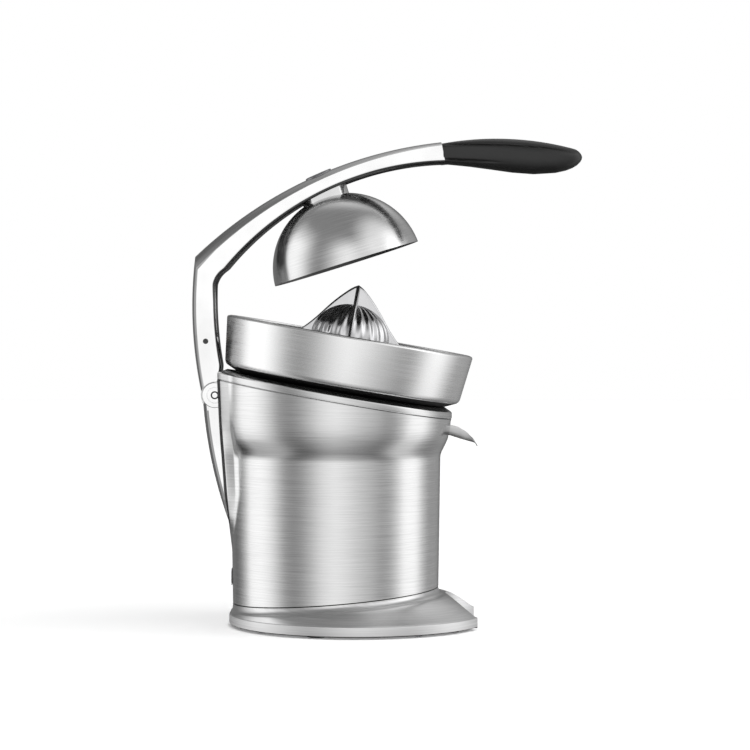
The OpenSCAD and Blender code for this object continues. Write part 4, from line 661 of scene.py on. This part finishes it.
def arc_between(centre, first, last, count):
    """Points on the short arc about a centre from one point to another."""
    a = np.arctan2(*(first - centre)[::-1])
    b = np.arctan2(*(last - centre)[::-1])
    b += 2 * np.pi * np.round((a - b) / (2 * np.pi))
    turn = np.linspace(a, b, count)
    radius = np.linspace(np.linalg.norm(first - centre), np.linalg.norm(last - centre), count)
    return centre + radius[:, None] * np.stack([np.cos(turn), np.sin(turn)], -1)


def arc_centre(first, last, radius):
    """The centre, right of the way, of the arc of this radius from one point to another."""
    chord = last - first
    size = np.linalg.norm(chord)
    return (first + last) / 2 + np.array([chord[1], -chord[0]]) / size * math.sqrt(radius ** 2 - size ** 2 / 4)


def bearing(centre, x, z):
    """The direction from a centre to points."""
    return np.arctan2(z - centre[1], x - centre[0])


def evenly(path, count):
    """The same line with points at even distances."""
    gone = np.concatenate([[0], np.cumsum(np.linalg.norm(np.diff(path, axis=0), axis=1))])
    want = np.linspace(0, gone[-1], count)
    return np.stack([np.interp(want, gone, path[:, 0]), np.interp(want, gone, path[:, 1])], -1)


def crossing(c1, r1, c2, r2):
    """One crossing of two circles. The other comes with the circles exchanged."""
    d = np.linalg.norm(c2 - c1)
    a = (d * d + r1 * r1 - r2 * r2) / (2 * d)
    h = np.sqrt(r1 * r1 - a * a)
    way = (c2 - c1) / d
    return np.stack([c1[0] + a * way[0] + h * way[1], c1[1] + a * way[1] - h * way[0]], -1)


def crossing_left(c1, r1, c2, r2):
    """The one of two circles' crossings with the smaller x."""
    one, two = crossing(c1, r1, c2, r2), crossing(c2, r2, c1, r1)
    return np.where((one[..., :1] < two[..., :1]), one, two)


throat_high, throat_low = PIN + (19.3, 65.7), PIN + (8.5, 51.5)
skirt_at, heel, knee, foot_high, foot_low = PIN + np.array([(13.8, -22.3), (12.6, -36.3), (8.3, -40.9), (1.2, -46.3),
                                                             (2, -56.3)])
throat_c = arc_centre(throat_low, throat_high, THROAT_R)
throat = arc_between(throat_c, throat_low, throat_high, 9)
TAIL = PIN + (-3, -57.3)
LOW_COUNT, HIGH_COUNT = 56, 120
inner_low = evenly(np.concatenate([[foot_low, foot_high, knee, heel],
                                   arc_between(FRONT_C, skirt_at, throat_low, 20), throat[1:5]]), LOW_COUNT)
inner_high = evenly(np.concatenate([throat[4:], arc_between(UNDER_C, throat_high, ROOT_LOW, 60)[1:]]), HIGH_COUNT)
inner_path = np.concatenate([inner_low, inner_high[1:]])
# Places across the crown, from its middle to its edge
ACROSS = np.array([0, 0.15, 0.3, 0.45, 0.6, 0.72, 0.84, 0.93, 0.98, 1.0])


def eased(low, high, before, over):
    """One value for each station of the arm: low, an even change over some stations, then high."""
    after = LOW_COUNT + HIGH_COUNT - 1 - before - over
    return np.concatenate([np.full(before, low), np.linspace(low, high, over), np.full(after, high)])


def arm_half_grid(inset):
    """Half of the arm's section (stations, columns, 3), moved in by the inset. The outer face lies on circles in side
    view whose radius falls by the crown's dip at each y; the two meet in a mitre at the bend. Below the crown come the
    chamfer, the flat side, the rolled edge and the turned-in flange."""
    mitre_y = (HALF - inset - CROWN_IN) * ACROSS
    mitre = crossing_left(BACK_C, BACK_LINE - inset - dip(mitre_y, BACK_CROWN), CROWN_C,
                          CROWN_LINE - inset - dip(mitre_y, CROWN_R))
    tail_turn = bearing(BACK_C, *TAIL) % (2 * np.pi)
    mitre_turn = bearing(BACK_C, *mitre.T) % (2 * np.pi)
    t = np.linspace(0, 1, LOW_COUNT)[:, None]
    turn = tail_turn + (mitre_turn - tail_turn) * t
    radius = BACK_LINE - inset - dip(mitre_y, BACK_CROWN)
    back = np.stack([BACK_C[0] + radius * np.cos(turn), mitre_y + 0 * turn, BACK_C[1] + radius * np.sin(turn)], -1)
    t = np.linspace(0, 1, HIGH_COUNT)[1:, None]
    first = bearing(CROWN_C, *mitre.T)
    root = bearing(CROWN_C, *ROOT_TOP)
    turn = first + (root - first) * t
    y = mitre_y + 0 * turn
    for _ in range(3):
        radius = CROWN_LINE - inset - dip(y, CROWN_R)
        y = (half_at(CROWN_C[0] + radius * np.cos(turn)) - inset - CROWN_IN) * ACROSS
    crown = np.stack([CROWN_C[0] + radius * np.cos(turn), y, CROWN_C[1] + radius * np.sin(turn)], -1)
    outer = np.concatenate([back, crown])
    edge = outer[:, -1]
    half = half_at(edge[:, 0]) - inset
    down = inner_path - edge[:, [0, 2]]
    depth = np.linalg.norm(down, axis=1, keepdims=True)
    way = down / depth
    total = depth[:, 0]
    chamfer = eased(CHAMFER_LOW, CHAMFER_HIGH, LOW_COUNT, 12)
    roll = np.minimum(eased(ROLL_LOW, ROLL_HIGH, LOW_COUNT - 12, 16), 0.3 * total)
    drops = [chamfer, chamfer + 0.3] + [chamfer + (total - ROLL_ROOM - chamfer) * f for f in (0.3, 0.8)] + [
        total - np.maximum(roll + 0.3, 3.4), total - roll]
    tight = np.maximum(roll - inset, 0.4)
    lines = [(d, half) for d in drops] + [
        (total - roll + tight * math.sin(a), half - tight * (1 - math.cos(a))) for a in ROLL_ANGLES]
    side = [np.stack([edge[:, 0] + way[:, 0] * d, y, edge[:, 2] + way[:, 1] * d], -1) for d, y in lines]
    last = side[-1].copy()
    last[:, 1] = half_at(edge[:, 0]) - np.maximum(roll, ARM_T) - 0.3 * roll
    return np.concatenate([outer, np.stack(side + [last], 1)], 1)


def two_sided(half):
    """A strip from one edge over the middle to the other, from its half."""
    return np.concatenate([half[:, :0:-1] * (1, -1, 1), half], 1)


outer, inner = two_sided(arm_half_grid(0.0)), two_sided(arm_half_grid(ARM_T))
points, faces, column = shell(outer, inner, (False, False))
middle_column = outer.shape[1] // 2
on_crown = np.abs(column + 0.5 - middle_column) < len(ACROSS) - 1
crown_steel = brushed("crown_steel", 0.5, 0.25, swing=0.05, along=9.0, across=1100.0, turn=(math.pi / 2, 0, 0))
side_steel = brushed("side_steel", 1.0, 0.08, along=20.0, across=20.0, swing=0.03, depth=0.002)
# Painted shade: the rolled edges under the arm are painted near black for the shade and dark reflection along them
roll_painted_shade = brushed("roll_painted_shade", 0.12, 0.3, along=20.0, across=20.0, swing=0.03, depth=0.0)
on_roll = middle_column - np.abs(column + 0.5 - middle_column) < len(ROLL_ANGLES)
add_piece("arm", points, faces, "arm", "arm_metal", ["arm_shell"], 25.0, [crown_steel, side_steel, roll_painted_shade],
          np.where(on_roll, 2, np.where(on_crown, 0, 1)))

# A low round cap closes the hole of the saddle's screw. It follows the crown and stands 1.3 mm proud.
CAP_X, CAP_R = PIN[0] + 102.6, 11.5
CAP_STEPS = np.array([(0, 1.3), (0.3, 1.3), (0.6, 1.3), (0.85, 1.3), (0.94, 1.22), (0.98, 1.05), (1.0, 0.7),
                      (1.0, -0.8), (0.5, -0.8), (0, -0.8)])
angle = circle(72)
cap_x, cap_y = CAP_X + CAP_R * CAP_STEPS[:, 0] * np.cos(angle), CAP_R * CAP_STEPS[:, 0] * np.sin(angle)
cap_z = CROWN_C[1] + np.sqrt((CROWN_LINE + CAP_STEPS[:, 1] - dip(cap_y, CROWN_R)) ** 2 - (cap_x - CROWN_C[0]) ** 2)
cap = np.stack([cap_x, cap_y, cap_z], -1)
cap_metal = brushed("cap_metal", (0.3, 0.3, 0.31), 0.38)
add_piece("cap", *skin(cap), "arm", "arm_metal", ["arm_cap"], 40.0, [cap_metal])

# ---- Hinge bracket: pressed channel on the body's spine, with a round cheek on each side for the fixed pin ----
# Polished like the arm's sides, with a brushed back. Screws hold it in the spine's pocket.
KNUCKLE, KNUCKLE_R, CHEEK_IN, CHEEK_OUT = np.array([-110.0, 213.0]), 12.3, 26.0, 29.0
BRACKET_LOW, BRACKET_TOP, BRACKET_R = np.array([-98.0, 93.5]), np.array([-122.3, 204.6]), 420.0
bow_c = arc_centre(BRACKET_LOW, BRACKET_TOP, BRACKET_R)
BRACKET_T, FOOT_HALF, FOOT_TALL, BRACKET_AHEAD = 2.4, 20, 46, -99.0


def bracket_grid(inset):
    """The bracket's section at each level (rows, columns, 3), moved in by the inset: a crowned back on a large circle
    in side view, a chamfer and a flat side."""
    z = np.linspace(BRACKET_LOW[1], BRACKET_TOP[1], 48)[:, None]
    back = bow_c[0] - np.sqrt(BRACKET_R ** 2 - (z - bow_c[1]) ** 2) + inset
    rise = np.sin(np.pi / 2 * np.clip((z - BRACKET_LOW[1]) / FOOT_TALL, 0, 1))
    half = FOOT_HALF + (CHEEK_OUT - FOOT_HALF) * rise - inset
    y = (half - 1) * ACROSS
    crown = np.stack([back + dip(y, BACK_CROWN), y, z + 0 * y], -1)
    edge = crown[:, -1:, 0]
    ahead = np.maximum(BRACKET_AHEAD, edge + 3.0)
    x = np.concatenate([edge + 2.1, edge + 2.3, edge + 0.5 * (ahead - edge) + 1.2, ahead], 1)
    side = np.stack([x, half + 0 * x, z + 0 * x], -1)
    return two_sided(np.concatenate([crown, side], 1))


outer, inner = bracket_grid(0.0), bracket_grid(BRACKET_T)
points, faces, column = shell(outer, inner, (False, False))
bracket_back = np.abs(column + 0.5 - outer.shape[1] // 2) < len(ACROSS) - 1
# The cheek's outline: radius, and how far out. It has a shallow ring groove, and round the pin a groove painted dark as
# shade.
CHEEK = [(0, 0), (KNUCKLE_R - 0.2, 0), (KNUCKLE_R, 0.2), (KNUCKLE_R, 2.0), (KNUCKLE_R - 0.35, 2.8),
         (KNUCKLE_R - 1.2, 3.3), (7.6, 3.3), (7.4, 2.9), (7.0, 2.9), (6.8, 3.3), (3.7, 3.3), (3.6, 3.05), (2.5, 3.05),
         (2.4, 3.3), (0, 3.3)]
PIN_GROOVE = (10, 11, 12)
cheek = turned(CHEEK, 72)
cheek = np.stack([cheek[..., 0] + KNUCKLE[0], CHEEK_IN + cheek[..., 2], cheek[..., 1] + KNUCKLE[1]], -1)
cheek_points, cheek_faces = skin(cheek)
WEB = np.array([(-110, 225.2), (-99.4, 225), (-99.4, 199), (-116.8, 199), (-117.4, 204.6), (-121.4, 208)])
web = np.stack([np.broadcast_to(WEB[:, 0], (2, len(WEB))), np.array([[CHEEK_IN], [CHEEK_OUT - 0.05]]) + 0 * WEB[:, 0],
                np.broadcast_to(WEB[:, 1], (2, len(WEB)))], -1)
parts = [(points, faces), (cheek_points, cheek_faces), (cheek_points * (1, -1, 1), cheek_faces),
         loft(web), loft(web * (1, -1, 1))]
all_points, all_faces = join(*parts)
material = np.ones(len(all_faces), int)
material[:len(faces)] = ~bracket_back
groove = np.isin(np.arange(len(cheek_faces)) % (len(CHEEK) - 1), PIN_GROOVE)
material[len(faces):len(faces) + 2 * len(cheek_faces)] += np.tile(groove, 2)
add_piece("bracket", all_points, all_faces, "housing", "arm_metal", ["hinge_bracket"], 25.0,
          [crown_steel, side_steel, shaded], material)

# ---- Grip: soft black moulding over the arm's end ----
# Squared where it meets the arm, rounder and fuller toward its tip.
GRIP_TOP_C, GRIP_TOP_R = np.array([148.8, 173.1]), 275.8
GRIP_LOW = np.array([(97.6, 424.6), (103.3, 425.3), (122.9, 423.3), (142.9, 420.6), (163, 417.7), (183.1, 416.2),
                     (203.1, 417.4), (213, 419.6), (219, 422.0), (223, 424.4), (225.8, 427.2), (227.2, 429.4),
                     (227.7, 431.3)])
(GRIP_FROM, _), (GRIP_TO, TIP_Z) = GRIP_LOW[[0, -1]]
GRIP_HALF = 17
t = np.concatenate([np.linspace(0, 0.8, 50), 0.8 + 0.2 * np.sin(np.linspace(0, np.pi / 2, 26)[1:])])[:, None]
x = GRIP_FROM + (GRIP_TO - GRIP_FROM) * t
closing = np.sqrt(np.clip(1 - np.clip((t - 0.94) / 0.06, 0, 1) ** 2.2, 0, 1))
top_z = GRIP_TOP_C[1] + np.sqrt(GRIP_TOP_R ** 2 - (x - GRIP_TOP_C[0]) ** 2)
low_z = np.interp(x, GRIP_LOW[:, 0], GRIP_LOW[:, 1])
top_z = TIP_Z + (top_z - TIP_Z) * closing
wide = (HALF_GRIP + (GRIP_HALF - HALF_GRIP) * np.sin(np.pi / 2 * np.clip(t / 0.55, 0, 1))) * np.sqrt(
    np.clip(1 - np.clip((t - 0.62) / 0.38, 0, 1) ** 2.6, 0, 1))
angle = np.linspace(0, 2 * np.pi, 180, endpoint=False)
power = 0.5 + 0.35 * np.clip(t / 0.5, 0, 1)
y = wide * np.sign(np.cos(angle)) * np.abs(np.cos(angle)) ** power
z = (top_z + low_z) / 2 + (top_z - low_z) / 2 * np.sign(np.sin(angle)) * np.abs(np.sin(angle)) ** power
# Two moulded creases run along each side: x, z, and the share of the full depth there
UPPER_CREASE = np.array([(99.4, 442.8, 0), (104, 443, 1), (133.7, 442.6, 1), (157, 442, 1), (191.5, 439.8, 1),
                         (212, 437, 0.8), (221, 435, 0)])
LOWER_CREASE = np.array([(99.4, 429.4, 0), (104, 429.2, 1), (130, 427.8, 1), (152, 426.4, 0.1), (160, 426, 0)])
CREASE_WIDE, CREASE_DEEP = 0.8, 1.6
groove = sum(np.interp(x, at, share) * np.exp(-((z - np.interp(x, at, high)) / CREASE_WIDE) ** 2)
             for at, high, share in (UPPER_CREASE.T, LOWER_CREASE.T))
y = y - np.sign(y) * np.minimum(CREASE_DEEP * groove, np.abs(y))
grip = np.stack([x + 0 * y, y, z], -1)
grip[0] = grip[0] * (1, 0.98, 1)


def moulded(name, colour, rough, grain_size=900.0, depth=0.02):
    """Moulded plastic or rubber: a fine even grain, with faint cloudy changes of tone and gloss."""
    look, tree, place = new_look(name)
    fine = node(tree, "TexNoise", Vector=place, Scale=grain_size, Detail=2.0)
    cloud = node(tree, "TexNoise", Vector=place, Scale=30.0, Detail=2.0).outputs[0]
    surface(tree, colour, (0.88, 1.12), cloud, rough, 0.05, cloud, (0.3, 0.7), fine.outputs[0], depth)
    return look


grip_black = moulded("grip_black", 0.026, 0.4)
grip_points, grip_faces = loft(grip)
add_piece("grip_cover", grip_points, grip_faces, "arm", "grip_black", ["grip"], 40.0, [grip_black])

# ---- Spout: pressed steel trough at the body's front, open on top, its tip round in plan ----
SPOUT_HALF, SPOUT_T, SPOUT_END, SPOUT_NOSE, BOW = 12.0, 1.4, 131.6, 15.0, 3.2
SPOUT_TOP = np.array([(99, 184.8), (106.1, 184.5), (113.7, 182.6), (120.7, 178.4), (127.8, 171.8), (131.6, 165.4)])
SPOUT_LOW = np.array([(99, 175.8), (105.6, 175.1), (116, 171.8), (128.3, 168.3), (131.6, 165.3)])
x = np.concatenate([np.linspace(99, 122, 18),
                    122 + (SPOUT_END - 122) * np.sin(np.linspace(0, np.pi / 2, 18)[1:])])[:, None]
nose = SPOUT_END - SPOUT_NOSE
wide = np.where(x > nose, np.sqrt(np.clip(SPOUT_NOSE ** 2 - (x - nose) ** 2, 0, None)) * 0.8, SPOUT_HALF)
wide = np.minimum(wide, SPOUT_HALF)
across = np.linspace(-1, 1, 41)
bowed = (1 - np.abs(across) ** BOW) ** (1 / BOW)
top_z, low_z = np.interp(x, *SPOUT_TOP.T), np.interp(x, *SPOUT_LOW.T)
outer = np.stack([x + 0 * across, wide * across, top_z - (top_z - low_z) * bowed], -1)
inner_half = np.maximum(wide - SPOUT_T, 0.05)
inner = np.stack([x + 0 * across - SPOUT_T * np.clip((x - 128) / 3.6, 0, 1), inner_half * across,
                  top_z - np.maximum(top_z - low_z - SPOUT_T, 0.02) * bowed], -1)
points, faces, _ = shell(outer, inner, (False, False))
spout_steel = brushed("spout_steel", 0.74, 0.3, along=40.0, across=40.0)
add_piece("spout_trough", points, faces, "spout_lip", "brushed_body", ["spout"], 35.0, [spout_steel])

# ---- The other parts keep their CAD form: hinge, gears, motor, board, feet and fasteners ----
plain_steel = brushed("plain_steel", 0.74, 0.25, along=60.0, across=400.0)
black_steel = brushed("black_steel", 0.07, 0.3, along=60.0, across=400.0)
dark_metal = brushed("dark_metal", (0.30, 0.30, 0.31), 0.38, along=60.0, across=400.0)
light_casting = brushed("light_casting", 0.80, 0.2, along=40.0, across=40.0, depth=0.004)
gear_steel = brushed("gear_steel", (0.52, 0.52, 0.53), 0.32, along=80.0, across=500.0)
brass_metal = brushed("brass_metal", (0.78, 0.58, 0.27), 0.3, along=60.0, across=400.0)
iron_cast = brushed("iron_cast", (0.16, 0.16, 0.17), 0.6, along=300.0, across=300.0, depth=0.06)
rubber = moulded("rubber", 0.02, 0.7, 500.0, 0.05)
black_plastic = moulded("black_plastic", (0.022, 0.022, 0.024), 0.4)
grey_plastic = moulded("grey_plastic", 0.35, 0.4)
white_plastic = moulded("white_plastic", (0.70, 0.70, 0.67), 0.4)
gear_plastic = moulded("gear_plastic", (0.66, 0.64, 0.56), 0.38)
red_plastic = moulded("red_plastic", (0.45, 0.02, 0.02), 0.35)
board_green = moulded("board_green", (0.02, 0.14, 0.05), 0.35, 250.0)
LOOKS = {
    plain_steel: ["base_plate", "spout_pin", "drive_shaft", "idler_axle", "lay_axle", "motor_can", "dome_screw"],
    dark_metal: ["base_screws", "gearbox_screws", "bracket_screws", "saddle_screw", "core_screws", "grip_core",
                 "torsion_springs"],
    black_steel: ["arm_pin", "hinge_pin"],
    light_casting: ["hinge_links", "dome_saddle"],
    gear_steel: ["sector_gear", "idler_gear", "arm_gear", "return_spring", "motor_stator", "motor_rotor"],
    brass_metal: ["deck_bush", "link_bushes", "motor_bushes"],
    iron_cast: ["ballast"],
    rubber: ["rubber_feet"],
    grey_plastic: ["cord_gland"],
    black_plastic: ["arm_liner", "micro_switch", "board_posts", "gearbox_cover", "gearbox_plate"],
    white_plastic: ["juice_chute"],
    gear_plastic: ["output_gear", "lay_gear"],
    red_plastic: ["switch_button"],
    board_green: ["control_board"],
}
for look, names in LOOKS.items():
    for name in names:
        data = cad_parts[name].data
        data.materials.clear()
        data.materials.append(look)
